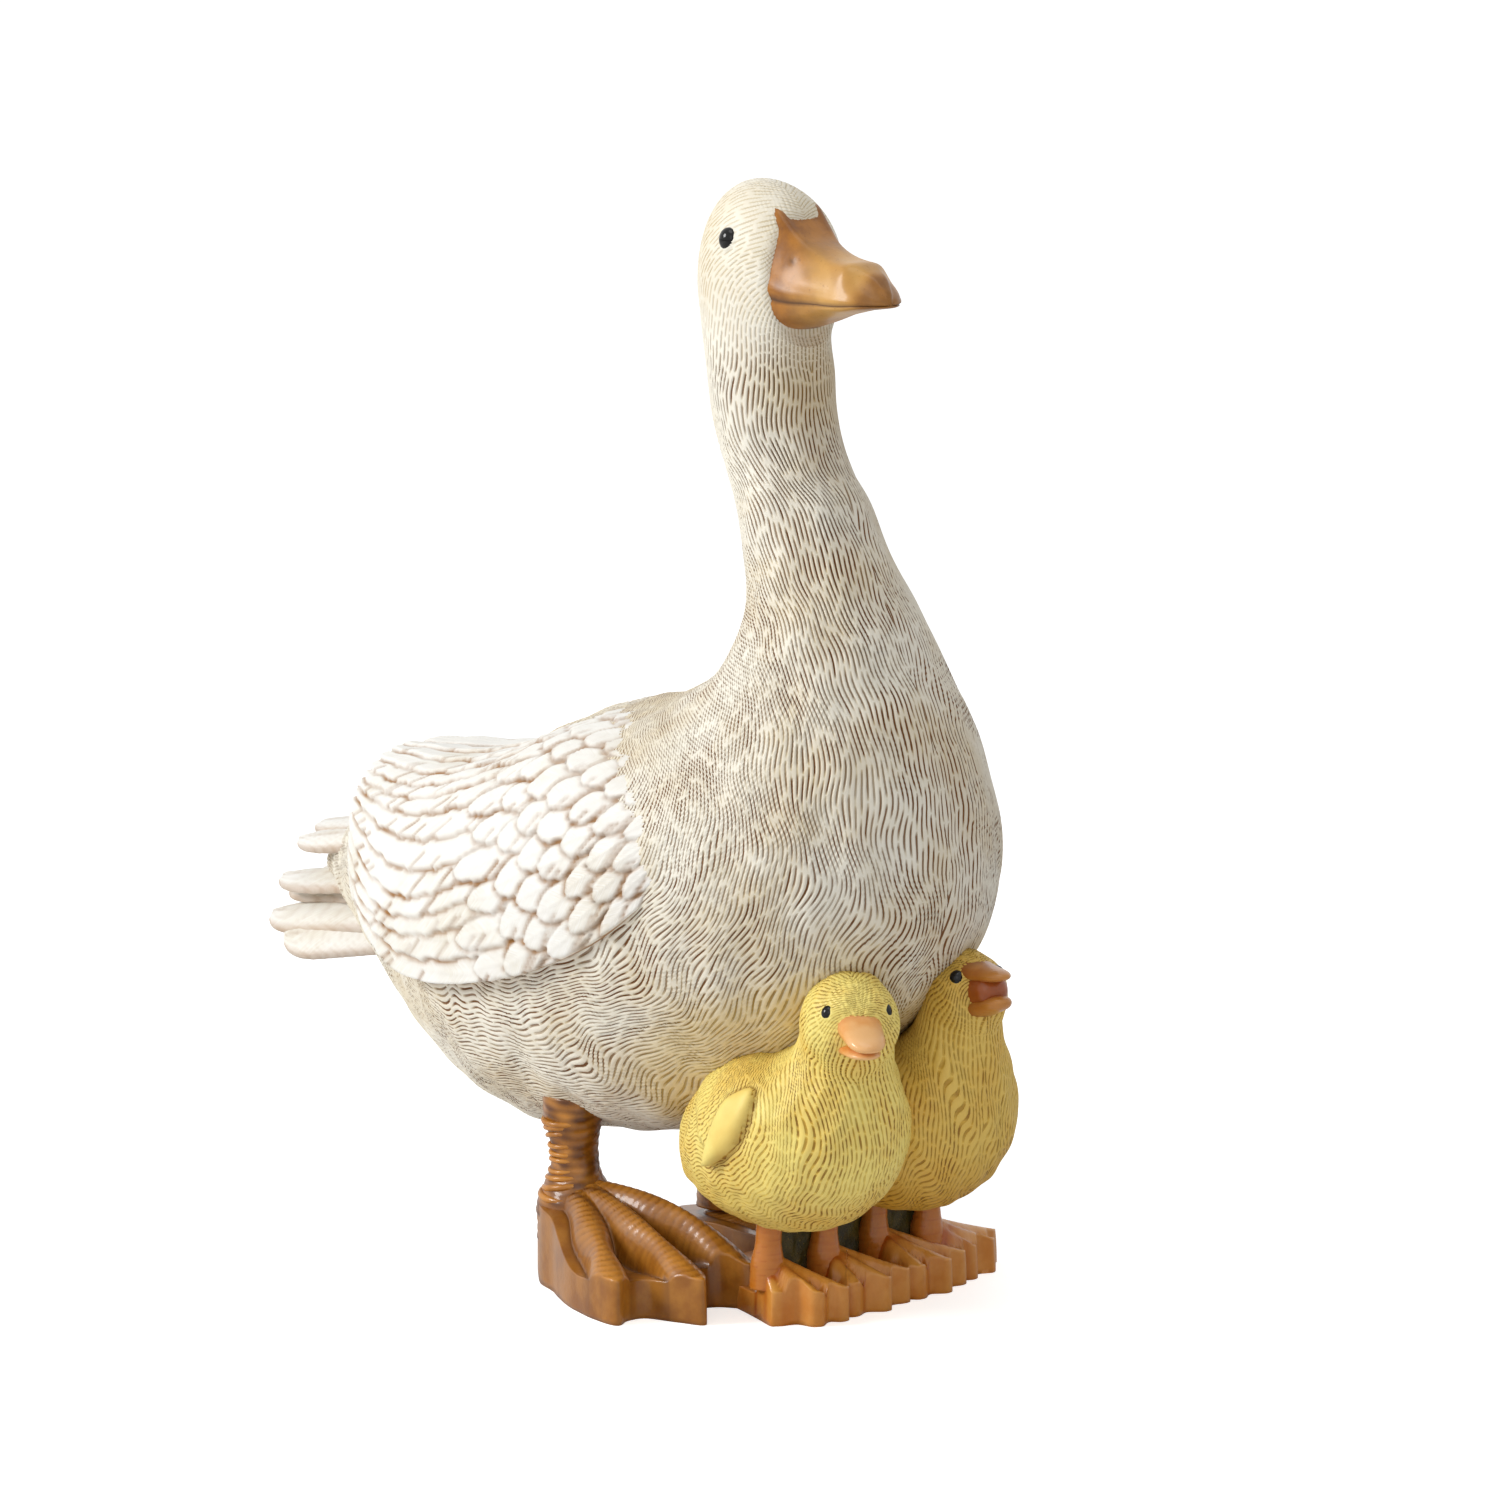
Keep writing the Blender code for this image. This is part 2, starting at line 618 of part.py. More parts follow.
def ground_cutter(group):
    """A block whose top is the ground that the figure stands on."""
    size = 1.0
    block = bmesh.new()
    bmesh.ops.create_cube(block, size=size, matrix=Matrix.Translation((0, 0, -size / 2)))
    mesh = bpy.data.meshes.new("ground_cutter")
    block.to_mesh(mesh)
    block.free()
    cutter = bpy.data.objects.new("ground_cutter", mesh)
    cutter.display_type = "WIRE"
    cutter.hide_render = True
    group.objects.link(cutter)
    return cutter


def cast_figure():
    clay = []
    add_body(clay)
    add_bill(clay)
    add_wings(clay)
    add_tail(clay)
    add_leg(clay, -1)
    add_leg(clay, 1)
    for duckling in DUCKLINGS:
        add_duckling(clay, *duckling)
    add_ducklings_feet(clay)
    mesh = one_mesh(clay)
    mesh.materials.append(casting_material())
    figure = bpy.data.objects.new(FIGURE, mesh)
    collection(FIGURE).objects.link(figure)
    fuse = figure.modifiers.new("fuse the forms", "REMESH")
    fuse.mode = "VOXEL"
    fuse.voxel_size = FUSE_GRAIN
    soften = figure.modifiers.new("soften the joins", "SMOOTH")
    soften.factor = 0.5
    soften.iterations = 3
    thin = figure.modifiers.new("keep the faces that the shape needs", "DECIMATE")
    thin.ratio = FACE_SHARE
    thin.use_collapse_triangulate = True
    cut = figure.modifiers.new("flat underside", "BOOLEAN")
    cut.object = ground_cutter(collection("cutters"))
    cut.operation = "DIFFERENCE"
    cut.solver = "EXACT"
    return figure


clear_scene()
cast_figure()
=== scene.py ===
# Garden figure of a standing duck with two ducklings at its breast, cast in resin in one piece and
# painted by hand: cream plumage with a brown wash rubbed into the carved strokes, a satin bill, glossy
# webbed feet and yellow down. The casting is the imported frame, and its painted skin is made here.

import math

import bpy
import numpy as np
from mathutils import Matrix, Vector


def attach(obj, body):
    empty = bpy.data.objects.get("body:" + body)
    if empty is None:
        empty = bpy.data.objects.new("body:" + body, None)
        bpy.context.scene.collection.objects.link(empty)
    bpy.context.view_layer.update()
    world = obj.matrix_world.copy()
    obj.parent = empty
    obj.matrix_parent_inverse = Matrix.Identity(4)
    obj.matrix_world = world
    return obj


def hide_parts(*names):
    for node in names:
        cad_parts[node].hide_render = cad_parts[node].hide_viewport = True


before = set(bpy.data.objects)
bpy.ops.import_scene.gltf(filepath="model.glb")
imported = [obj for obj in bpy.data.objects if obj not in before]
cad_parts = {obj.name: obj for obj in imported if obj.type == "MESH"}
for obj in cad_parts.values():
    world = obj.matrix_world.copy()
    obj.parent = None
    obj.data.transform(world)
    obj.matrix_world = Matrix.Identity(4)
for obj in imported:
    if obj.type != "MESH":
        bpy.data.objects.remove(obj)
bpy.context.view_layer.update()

# The duck's carved plumage
# One skin over head, neck, breast, belly and rump. The modeller combed short wavy strokes into the clay,
# they came out in the casting, and a thin brown wash was wiped off again so that it stays in them.

MM = 0.001
CASTING = "duck_garden_figure"
# How far the figure's drawing, whose middle line runs between the legs, lies from the frame's origin
DRAWING_PLACE = np.array([84.0, -2.2, 0.0])

# Sections of the skin, in millimetres of the drawing: upper or back point, lower or front point,
# half width
HEAD_SECTIONS = [
    (15, 392, 15, 362, 12), (12, 402, 15, 357, 17.5), (4, 408.3, 15.5, 355.5, 20),
    (-7, 411.5, 16, 354.5, 21.5), (-18, 410.5, 16.5, 353.5, 22.3), (-28, 404, 17, 353, 22.5),
    (-34.5, 393, 17, 352, 22.5), (-37, 379, 17, 350, 22.3), (-34.5, 363, 17, 347, 22.5)]
NECK_SECTIONS = [
    (-31, 348, 17.5, 341, 23), (-27.5, 330, 18.5, 327, 22.8), (-23, 314, 23, 312, 22.8),
    (-16, 300, 33, 298, 24.2), (-11.5, 286, 40.5, 284, 26), (-8, 272, 48.5, 269, 28.5),
    (-6, 259, 57, 255, 33)]
BODY_SECTIONS = [
    (-9, 247, 65, 238, 39), (-17, 235, 75, 219, 47), (-30, 226, 81, 195, 57), (-44, 221, 84, 168, 66),
    (-58, 217.5, 79.5, 144, 73), (-72, 214, 66, 121, 76.5), (-86, 209.5, 44, 99, 78),
    (-99, 204, 15, 79.5, 78), (-111, 198, -13, 64, 77), (-123, 192, -43, 56, 74), (-137, 186, -75, 52, 69),
    (-152, 181, -104, 49, 62), (-166, 178, -128, 52, 54), (-180, 175, -149, 60, 46),
    (-193, 171, -169, 73, 39), (-206, 164, -190, 89, 32), (-219, 154, -210, 106, 25),
    (-231, 144, -227, 120, 17), (-240, 136, -238, 127, 9), (-243, 133, -242, 130, 3)]
HEAD_TURN = -6.0
HEAD_AXIS = -9.5
ROWS_ON_HEAD_AND_NECK = 1.5
ROWS_ON_BODY = 2.0
BODY_COLUMNS = 720
# The strokes' usual length and depth and the gap from one to the next, and the height of the soft swells
STROKE_LENGTH = 12.0
STROKE_GAP = 1.85
STROKE_DEPTH = 0.7
SWELL_HEIGHT = 0.5
# Heights between which the strokes grow faint towards the head, and curl less above the belly
FAINT_ON_HEAD = (340, 362)
STRAIGHT_ON_NECK = (110, 230)
EYE_SPOT = (-5.4, 21.0, 391.2)
EYE_RIM = 5.6
# Where the ducklings touch the breast, and how far the yellow paint was rubbed round them
TOUCHED = ((35, -30, 82), (1.25, 1, 1)), ((40, 33, 90), (1, 1, 1))
RUB_REACH = (62, 40)


def through(values, places):
    """Values of a smooth curve through a list of sections, at places counted in steps of the list."""
    values = np.asarray(values, float)
    step = np.clip(np.floor(places).astype(int), 0, len(values) - 2)
    part = (places - step)[..., None]
    before = values[np.maximum(step - 1, 0)]
    start = values[step]
    end = values[step + 1]
    after = values[np.minimum(step + 2, len(values) - 1)]
    pull = 2 * before - 5 * start + 4 * end - after
    bend = 3 * (start - end) + after - before
    return start + 0.5 * part * (end - before + part * (pull + part * bend))


def even_places(sections, spacing, first=0.0, last=None):
    """Places along the sections whose rings lie about the given spacing apart where they are widest."""
    last = len(sections) - 1.0 if last is None else last
    fine = np.linspace(first, last, 1500)
    values = through(sections, fine)
    upper = np.hypot(*np.diff(values[:, [0, 1]], axis=0).T)
    lower = np.hypot(*np.diff(values[:, [2, 3]], axis=0).T)
    travelled = np.concatenate([[0], np.cumsum(np.maximum(upper, lower))])
    count = int(travelled[-1] / spacing) + 2
    return np.interp(np.linspace(0, travelled[-1], count), travelled, fine)


def skin_points(sections, places, angles):
    """A grid of points, one ring of ellipse for each place along the sections."""
    values = through(sections, places)
    top = np.stack([values[:, 0], 0 * values[:, 0], values[:, 1]], -1)
    low = np.stack([values[:, 2], 0 * values[:, 0], values[:, 3]], -1)
    centre = ((top + low) / 2)[:, None]
    up = ((top - low) / 2)[:, None]
    across = np.array([0, 1.0, 0]) * values[:, 4][:, None, None]
    return centre + up * np.cos(angles)[None, :, None] + across * np.sin(angles)[None, :, None]


def turned(points, degrees, axis_x, axis_y=0.0):
    """Points turned about an upright axis, each row or point by its own angle."""
    angle = np.radians(degrees)
    x = points[..., 0] - axis_x
    y = points[..., 1] - axis_y
    result = points.copy()
    result[..., 0] = axis_x + x * np.cos(angle) - y * np.sin(angle)
    result[..., 1] = axis_y + x * np.sin(angle) + y * np.cos(angle)
    return result


def outward(points, ring=True):
    """Directions that point out of a grid of rings."""
    down = np.gradient(points, axis=0)
    if ring:
        round_ = np.roll(points, -1, axis=1) - np.roll(points, 1, axis=1)
    else:
        round_ = np.gradient(points, axis=1)
    normal = np.cross(round_, down)
    return normal / np.maximum(np.linalg.norm(normal, axis=-1, keepdims=True), 1e-9)


def unit(vector):
    return vector / np.linalg.norm(vector)


def waves(points, lengths, seed):
    """A smooth field between about -1 and 1, a sum of waves in several directions."""
    rng = np.random.default_rng(seed)
    total = np.zeros(points.shape[:-1])
    for length in lengths:
        way = unit(rng.normal(size=3))
        total += np.sin(points @ way * (2 * math.pi / length) + rng.uniform(0, 2 * math.pi))
    return total / math.sqrt(len(lengths))


def soft_step(low, high, values):
    share = np.clip((values - low) / (high - low), 0, 1)
    return share * share * (3 - 2 * share)


def stroke_flow(points, sway):
    """Distance round each ring from the breast's middle line, which the strokes keep, and distance run."""
    travelled = np.cumsum(np.linalg.norm(np.gradient(points, axis=0), axis=-1).max(axis=1))
    girth = np.cumsum(np.linalg.norm(np.roll(points, -1, axis=1) - points, axis=-1), axis=1)
    from_front = np.abs(girth - girth[:, [points.shape[1] // 2]])
    return np.stack([from_front + sway, travelled[:, None] + 0 * sway], -1)


def combed(flow, gap, length, seed):
    """Where the comb went down, and how deep: broken lines side by side, one each gap."""
    rng = np.random.default_rng(seed)
    across = flow[..., 0]
    along = flow[..., 1]
    line = np.floor(across / gap).astype(int)
    line -= line.min()
    count = line.max() + 1
    run = length * rng.uniform(0.85, 1.6, count)[line]
    place = np.mod(along / run + rng.uniform(0, 1, count)[line], 1)
    pressed = soft_step(0, 0.16, place) * soft_step(0.94, 0.74, place) * rng.uniform(0.6, 1.0, count)[line]
    groove = soft_step(-0.2, 0.9, -np.cos(2 * math.pi * across / gap))
    return pressed, pressed * groove


def ring_faces(rows, columns, ring=True):
    """Quads of a grid whose rings close, or of a plain grid."""
    across = columns if ring else columns - 1
    row, column = np.meshgrid(np.arange(rows - 1), np.arange(across), indexing="ij")
    following = (column + 1) % columns
    corner = row * columns
    quads = np.stack([corner + column, corner + following, corner + columns + following,
                      corner + columns + column], -1)
    return quads.reshape(-1, 4)


def fan(centre, loop, flip):
    """Triangles from a pole to a closed loop of points."""
    loop = np.asarray(loop)
    following = np.roll(loop, -1)
    order = (following, loop) if flip else (loop, following)
    return np.stack([np.full(len(loop), centre), *order], -1)


def linked(item):
    bpy.context.scene.collection.objects.link(item)
    return item


def piece_of(name, material, points, faces, layers=None, normals=None, flow=None):
    """A mesh object from points in millimetres of the drawing, its faces and its painted layers."""
    points = (np.asarray(points).reshape(-1, 3) + DRAWING_PLACE) * MM
    sizes = np.concatenate([np.full(len(group), group.shape[1]) for group in faces])
    corners = np.concatenate([group.reshape(-1) for group in faces])
    mesh = bpy.data.meshes.new(name)
    mesh.vertices.add(len(points))
    mesh.vertices.foreach_set("co", points.astype(np.float32).reshape(-1))
    mesh.loops.add(len(corners))
    mesh.loops.foreach_set("vertex_index", corners.astype(np.int32))
    mesh.polygons.add(len(sizes))
    mesh.polygons.foreach_set("loop_start", np.concatenate([[0], np.cumsum(sizes)[:-1]]).astype(np.int32))
    mesh.update(calc_edges=True)
    mesh.shade_smooth()
    for label, values in (layers or {}).items():
        layer = mesh.attributes.new(label, "FLOAT", "POINT")
        layer.data.foreach_set("value", np.asarray(values, np.float32).reshape(-1))
    if flow is not None:
        layer = mesh.uv_layers.new(name="flow")
        layer.data.foreach_set("uv", np.asarray(flow, np.float32).reshape(-1, 2)[corners].reshape(-1))
    if normals is not None:
        mesh.normals_split_custom_set_from_vertices(np.asarray(normals).reshape(-1, 3))
    mesh.materials.append(material)
    return linked(bpy.data.objects.new(name, mesh))


def finish_piece(item):
    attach(item, "root")
    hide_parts(CASTING)


class Value:
    """A socket that adds, subtracts, multiplies and compares as a number does."""

    def __init__(self, sheet, socket):
        self.sheet = sheet
        self.socket = socket

    def _with(self, operation, other, swap=False, clamp=False):
        node = self.sheet.tree.nodes.new("ShaderNodeMath")
        node.operation = operation
        node.use_clamp = clamp
        pair = (other, self) if swap else (self, other)
        for place, item in enumerate(pair):
            if isinstance(item, Value):
                self.sheet.tree.links.new(item.socket, node.inputs[place])
            else:
                node.inputs[place].default_value = item
        return Value(self.sheet, node.outputs[0])

    def __add__(self, other):
        return self._with("ADD", other)

    __radd__ = __add__

    def __sub__(self, other):
        return self._with("SUBTRACT", other)

    def __rsub__(self, other):
        return self._with("SUBTRACT", other, swap=True)

    def __mul__(self, other):
        return self._with("MULTIPLY", other)

    __rmul__ = __mul__

    def most(self, other):
        return self._with("MAXIMUM", other)

    def held(self):
        return self._with("ADD", 0.0, clamp=True)

    def cosine(self):
        return self._with("COSINE", 0.0)


class Sheet:
    """A tree of shader nodes: one call adds a node with its settings and its sockets' values."""

    def __init__(self, tree):
        self.tree = tree

    def node(self, kind, settings=None, values=None, out=0):
        node = self.tree.nodes.new(kind)
        for label, setting in (settings or {}).items():
            setattr(node, label, setting)
        for label, value in (values or {}).items():
            self.put(node.inputs[label], value)
        return Value(self, node.outputs[out])

    def put(self, socket, value):
        if isinstance(value, Value):
            self.tree.links.new(value.socket, socket)
        elif isinstance(value, (tuple, list)) and len(value) == 3 and socket.type == "RGBA":
            socket.default_value = (*value, 1.0)
        else:
            socket.default_value = value

    def mix(self, share, first, second):
        node = self.tree.nodes.new("ShaderNodeMix")
        node.data_type = "RGBA"
        for place, value in ((0, share), (6, first), (7, second)):
            self.put(node.inputs[place], value)
        return Value(self, node.outputs[2])


class Paint(Sheet):
    """A material's nodes, with what the paints here have in common."""

    def __init__(self, name):
        self.material = bpy.data.materials.new(name)
        self.material.use_nodes = True
        super().__init__(self.material.node_tree)

    def layer(self, label):
        return self.node("ShaderNodeAttribute", {"attribute_name": label}, out=2)

    def place(self):
        return self.node("ShaderNodeTexCoord", out=3)

    def noise(self, scale, detail=3.0, roughness=0.55, where=None):
        values = {"Vector": where or self.place(), "Scale": scale, "Detail": detail, "Roughness": roughness}
        return self.node("ShaderNodeTexNoise", None, values)

    def between(self, value, low, high):
        settings = {"clamp": True, "interpolation_type": "SMOOTHSTEP"}
        return self.node("ShaderNodeMapRange", settings, {"Value": value, "From Min": low, "From Max": high})

    def stretched(self, scale):
        flow = self.node("ShaderNodeUVMap", {"uv_map": "flow"})
        return self.node("ShaderNodeMapping", None, {"Vector": flow, "Scale": scale})

    def strokes(self, gap):
        """Thin lines where the comb went down, one in each cut and nothing between them."""
        flow = self.node("ShaderNodeUVMap", {"uv_map": "flow"})
        across = self.node("ShaderNodeSeparateXYZ", None, {"Vector": flow})
        turn = across * (2 * math.pi / gap)
        return self.between(turn.cosine() * -1.0, 0.3, 0.85) * self.layer("wash")

    def bumps(self, *layers):
        """Bumps one over another, each given as its height, distance and strength."""
        under = {}
        for height, distance, strength in layers:
            values = {"Height": height, "Distance": distance, "Strength": strength, **under}
            under = {"Normal": self.node("ShaderNodeBump", None, values)}
        return under["Normal"]

    def finish(self, **values):
        shader = self.tree.nodes["Principled BSDF"]
        for label, value in values.items():
            self.put(shader.inputs[label.replace("_", " ")], value)
        return self.material


def painted(hex_colour):
    """A paint's colour as the shader takes it, from the maker's colour card."""
    parts = [int(hex_colour[start:start + 2], 16) / 255 for start in (0, 2, 4)]
    return tuple(part / 12.92 if part <= 0.04045 else ((part + 0.055) / 1.055) ** 2.4 for part in parts)


CREAM = painted("F0E9D4")
CHALK = painted("FBF8F0")
OLD_IVORY = painted("DAC697")
# The brown of the wash, also used for the painted shade
BROWN_WASH_AND_SHADE = painted("764818")
YELLOW_RUB = painted("D9B964")


def plumage_paint():
    """Cream paint, chalky on the ridges, with brown wash in the strokes, painted shade on the side turned
    from the light, and a yellow rub near the young.
    """
    paint = Paint("washed plumage")
    rub = paint.layer("rub")
    # This layer is how much wash was left, with painted shade added on the side turned from the light
    wash_and_shade = paint.layer("wash_and_shade")
    patches = paint.noise(26.0, 4.0)
    grain = paint.noise(900.0, 3.0)
    cut = paint.strokes(STROKE_GAP)
    ground = paint.mix(paint.between(patches, 0.35, 0.7), CREAM, OLD_IVORY)
    ground = paint.mix(paint.between(cut, 0.2, 0.0) * 0.45, ground, CHALK)
    # Brown goes into the strokes as wash and over the side turned from the light as painted shade
    wash_with_shade = cut * (0.6 + patches * 0.8) * (0.35 + wash_and_shade * 0.75) + wash_and_shade * patches * 0.18
    colour = paint.mix(wash_with_shade.held(), ground, BROWN_WASH_AND_SHADE)
    colour = paint.mix(rub * 0.5, colour, YELLOW_RUB)
    normal = paint.bumps((1.0 - cut, 0.00045, 0.8), (grain, 0.0001, 0.5))
    return paint.finish(Base_Color=colour, Roughness=0.48 + cut * 0.2 + grain * 0.08, Normal=normal)


PLUMAGE = plumage_paint()


def girth_angles(count):
    """Angles round a ring, sparse over the back, where the wings lie, and dense elsewhere."""
    fine = np.linspace(0, 2 * math.pi, 4001)
    from_top = np.minimum(fine, 2 * math.pi - fine)
    density = 0.55 + 0.45 * soft_step(math.radians(45), math.radians(65), from_top)
    travelled = np.concatenate([[0], np.cumsum((density[1:] + density[:-1]) / 2)])
    return np.interp(np.arange(count) / count * travelled[-1], travelled, fine)


def near(points, spot, radius):
    """One at a spot, fading to nothing at the radius."""
    return 1 - soft_step(0.0, radius, np.linalg.norm(points - np.asarray(spot), axis=-1))


def mother_skin():
    sections = np.array(HEAD_SECTIONS + NECK_SECTIONS + BODY_SECTIONS, float)
    neck_end = len(HEAD_SECTIONS) + len(NECK_SECTIONS) - 0.5
    upper = even_places(sections, ROWS_ON_HEAD_AND_NECK, 0.0, neck_end)
    lower = even_places(sections, ROWS_ON_BODY, neck_end)[1:]
    places = np.concatenate([upper, lower])
    smooth = skin_points(sections, places, girth_angles(BODY_COLUMNS))
    turn = HEAD_TURN * (1 - soft_step(len(HEAD_SECTIONS) - 1.0, len(HEAD_SECTIONS) + 3.0, places))
    smooth = turned(smooth, turn[:, None], HEAD_AXIS)
    return smooth, len(upper)


skin, neck_rows = mother_skin()
normals = outward(skin)
level = skin[..., 2]
sway = 3.2 * waves(skin, (44, 58, 76, 36), 3) + 0.7 * waves(skin, (19, 25, 15), 4)
sway *= 1.3 - 0.7 * soft_step(*STRAIGHT_ON_NECK, level)
flow = stroke_flow(skin, sway)
pressed, cut = combed(flow, STROKE_GAP, STROKE_LENGTH, 11)
eyes = turned(np.array([[EYE_SPOT[0], -EYE_SPOT[1], EYE_SPOT[2]], EYE_SPOT]), HEAD_TURN, HEAD_AXIS)
rim = np.maximum(*[near(skin, eye, EYE_RIM) for eye in eyes])
bare = 1 - soft_step(0.0, 0.35, rim)
height = -cut * STROKE_DEPTH * bare * (1 - 0.6 * soft_step(*FAINT_ON_HEAD, level))
height += waves(skin, (17, 21, 28, 13), 5) * SWELL_HEIGHT * soft_step(350, 300, level)
height += 0.7 * soft_step(0.05, 0.35, rim) - 1.2 * soft_step(0.35, 0.75, rim)
carved = skin + normals * height[..., None]
carved_normals = outward(carved)
wash_and_shade = 0.55 + 0.45 * soft_step(-0.9, 0.9, waves(skin, (23, 31, 17, 44), 6))
# The side of the breast and neck turned from the light is darker: painted shade, partly a heavier wash
wash_and_shade += 0.9 * soft_step(0.15, 0.95, normals @ np.array([0.6, 0.75, -0.1]))
wash_and_shade *= 1 - 0.75 * soft_step(335, 375, level)
wash = pressed * bare * (1 - 0.65 * soft_step(*FAINT_ON_HEAD, level))
from_young = np.minimum(*[np.linalg.norm((skin - spot) / sizes, axis=-1) for spot, sizes in TOUCHED])
rub = np.maximum(soft_step(*RUB_REACH, from_young), 0.45 * near(skin, (10, 0, 340), 30))
painted_layers = {"wash": wash, "rub": rub, "wash_and_shade": wash_and_shade * bare}

# The head and the neck keep every other column, and a strip of triangles joins them to the body
coarse = carved[:neck_rows, ::2]
half = BODY_COLUMNS // 2
join_row = carved[neck_rows]
pole = coarse[0].mean(axis=0) + (1, 0, 0)
neck_points = np.concatenate([coarse.reshape(-1, 3), join_row, [pole]])
first_fine = neck_rows * half
last = (neck_rows - 1) * half + np.arange(half)
following = (neck_rows - 1) * half + (np.arange(half) + 1) % half
here = first_fine + 2 * np.arange(half)
middle = here + 1
after = first_fine + (2 * np.arange(half) + 2) % BODY_COLUMNS
strip = np.concatenate([np.stack([last, following, middle], -1), np.stack([last, middle, here], -1),
                        np.stack([following, after, middle], -1)])


def with_join(field):
    """A field on the neck's points, the joining row and the pole."""
    kept = field[:neck_rows, ::2].reshape(-1, *field.shape[2:])
    return np.concatenate([kept, field[neck_rows], field[:1, 0]])


neck = piece_of(
    "head_and_neck_plumage", PLUMAGE, neck_points,
    [ring_faces(neck_rows, half), strip, fan(len(neck_points) - 1, np.arange(half), True)],
    {label: with_join(field) for label, field in painted_layers.items()},
    with_join(carved_normals), with_join(flow))
finish_piece(neck)

# Stations of the folded wings from the shoulder back: x, top, middle height, half width, lower edge.
# The body has no skin where they cover it.
WING_STATIONS = [
    (22, 200, 165, 58, 185), (12, 208, 160, 71, 166), (-8, 213, 154, 79.5, 147),
    (-30, 215.5, 150, 82.5, 134), (-52, 215, 145, 83.5, 125), (-75, 209, 140, 82, 118.5),
    (-105, 197, 133, 77, 113),
    (-135, 188.5, 128, 67.5, 112.5), (-160, 184.5, 128, 57, 119), (-180, 183, 134, 46, 129),
    (-195, 181, 140, 36, 137), (-204, 176.5, 146, 26, 144), (-208.5, 168, 152, 13, 151)]
WING_FULLNESS = 2.5


def under_the_wings(points):
    table = np.array(WING_STATIONS[::-1], float)
    x = points[..., 0]
    top, middle_height, width, edge = (np.interp(x, table[:, 0], column) for column in table.T[1:])
    outward_share = np.abs(points[..., 1] / width) ** WING_FULLNESS
    outward_share += np.abs((points[..., 2] - middle_height) / (top - middle_height)) ** WING_FULLNESS
    return (outward_share < 0.86) & (points[..., 2] > edge + 4) & (x < 8) & (x > -176)


def on_half(field, part):
    """A field on the points of one half of the body and on the tail's end."""
    return np.concatenate([field[part].reshape(-1, *field.shape[2:]), field[-1:, 0]])


body_rows = carved.shape[0] - neck_rows
for side, first in (("left", 0), ("right", half)):
    columns = np.arange(first, first + half + 1) % BODY_COLUMNS
    part = np.s_[neck_rows:, columns]
    tail_end = carved[-1].mean(axis=0)
    points = np.concatenate([carved[part].reshape(-1, 3), [tail_end]])
    count = len(columns)
    edge = (body_rows - 1) * count + np.arange(count)
    cap = np.stack([edge[:-1], edge[1:], np.full(count - 1, len(points) - 1)], -1)
    layers = {label: on_half(field, part) for label, field in painted_layers.items()}
    quads = ring_faces(body_rows, count, ring=False)
    quads = quads[~under_the_wings(points)[quads].all(axis=1)]
    item = piece_of(side + "_body_plumage", PLUMAGE, points, [quads, cap],
                    layers, on_half(carved_normals, part), on_half(flow, part))
    finish_piece(item)

# The folded wings
# Both lie over the back and flanks and were modelled with the body: long feathers that sweep back to a
# rounded end, a row of coverts over their roots and rows of short shoulder feathers in front. Each
# feather has a quill line and slanting barbs, and little wash was left on them.

WING_ROW = 1.1
WING_COLUMNS = 156
WING_RIM_COLUMNS = 6
WING_RIM_DEPTH = 9.0
# Each group's lowest feather and the group's reach up from it, as shares of the wing's girth
LONG_SPREAD = (0.965, 0.86)
COVERT_SPREAD = (0.95, 0.88)
SHOULDER_SPREAD = (0.93, 0.86)
LONG_FEATHERS = 13
LONG_SHARE = 0.062
COVERTS = 11
COVERT_LENGTH = 44.0
COVERT_HALF = 6.8
SHOULDER_ROWS = 7
SHOULDER_STEP = 10.5
SHOULDER_FEATHERS = 9
SHOULDER_LENGTH = 25.0
SHOULDER_HALF = 8.2
SEAM_WIDTH = 1.15
SEAM_DEPTH = 0.45
BARB_SLANT = 1.15
BARB_SPACING = 2.3


def wing_surface():
    """The wing's plain surface on the right side, its distance from the top edge, and x of each row."""
    places = even_places(np.array(WING_STATIONS, float), WING_ROW)
    values = through(WING_STATIONS, places)
    x, top, middle_height, width, edge = values.T
    tall = top - middle_height
    fine = np.linspace(0, math.pi, 400)
    share = np.sin(fine) ** (2 / WING_FULLNESS)
    rise = np.sign(np.cos(fine)) * np.abs(np.cos(fine)) ** (2 / WING_FULLNESS)
    grid = np.zeros((len(x), WING_COLUMNS, 3))
    girth = np.zeros(len(x))
    for row in range(len(x)):
        y = width[row] * share
        z = middle_height[row] + tall[row] * rise
        travelled = np.concatenate([[0], np.cumsum(np.hypot(np.diff(y), np.diff(z)))])
        end = np.interp(-edge[row], -z, travelled)
        spots = np.linspace(0, end, WING_COLUMNS)
        grid[row, :, 0] = x[row]
        grid[row, :, 1] = -np.interp(spots, travelled, y)
        grid[row, :, 2] = np.interp(spots, travelled, z)
        girth[row] = end
    return grid, girth, x


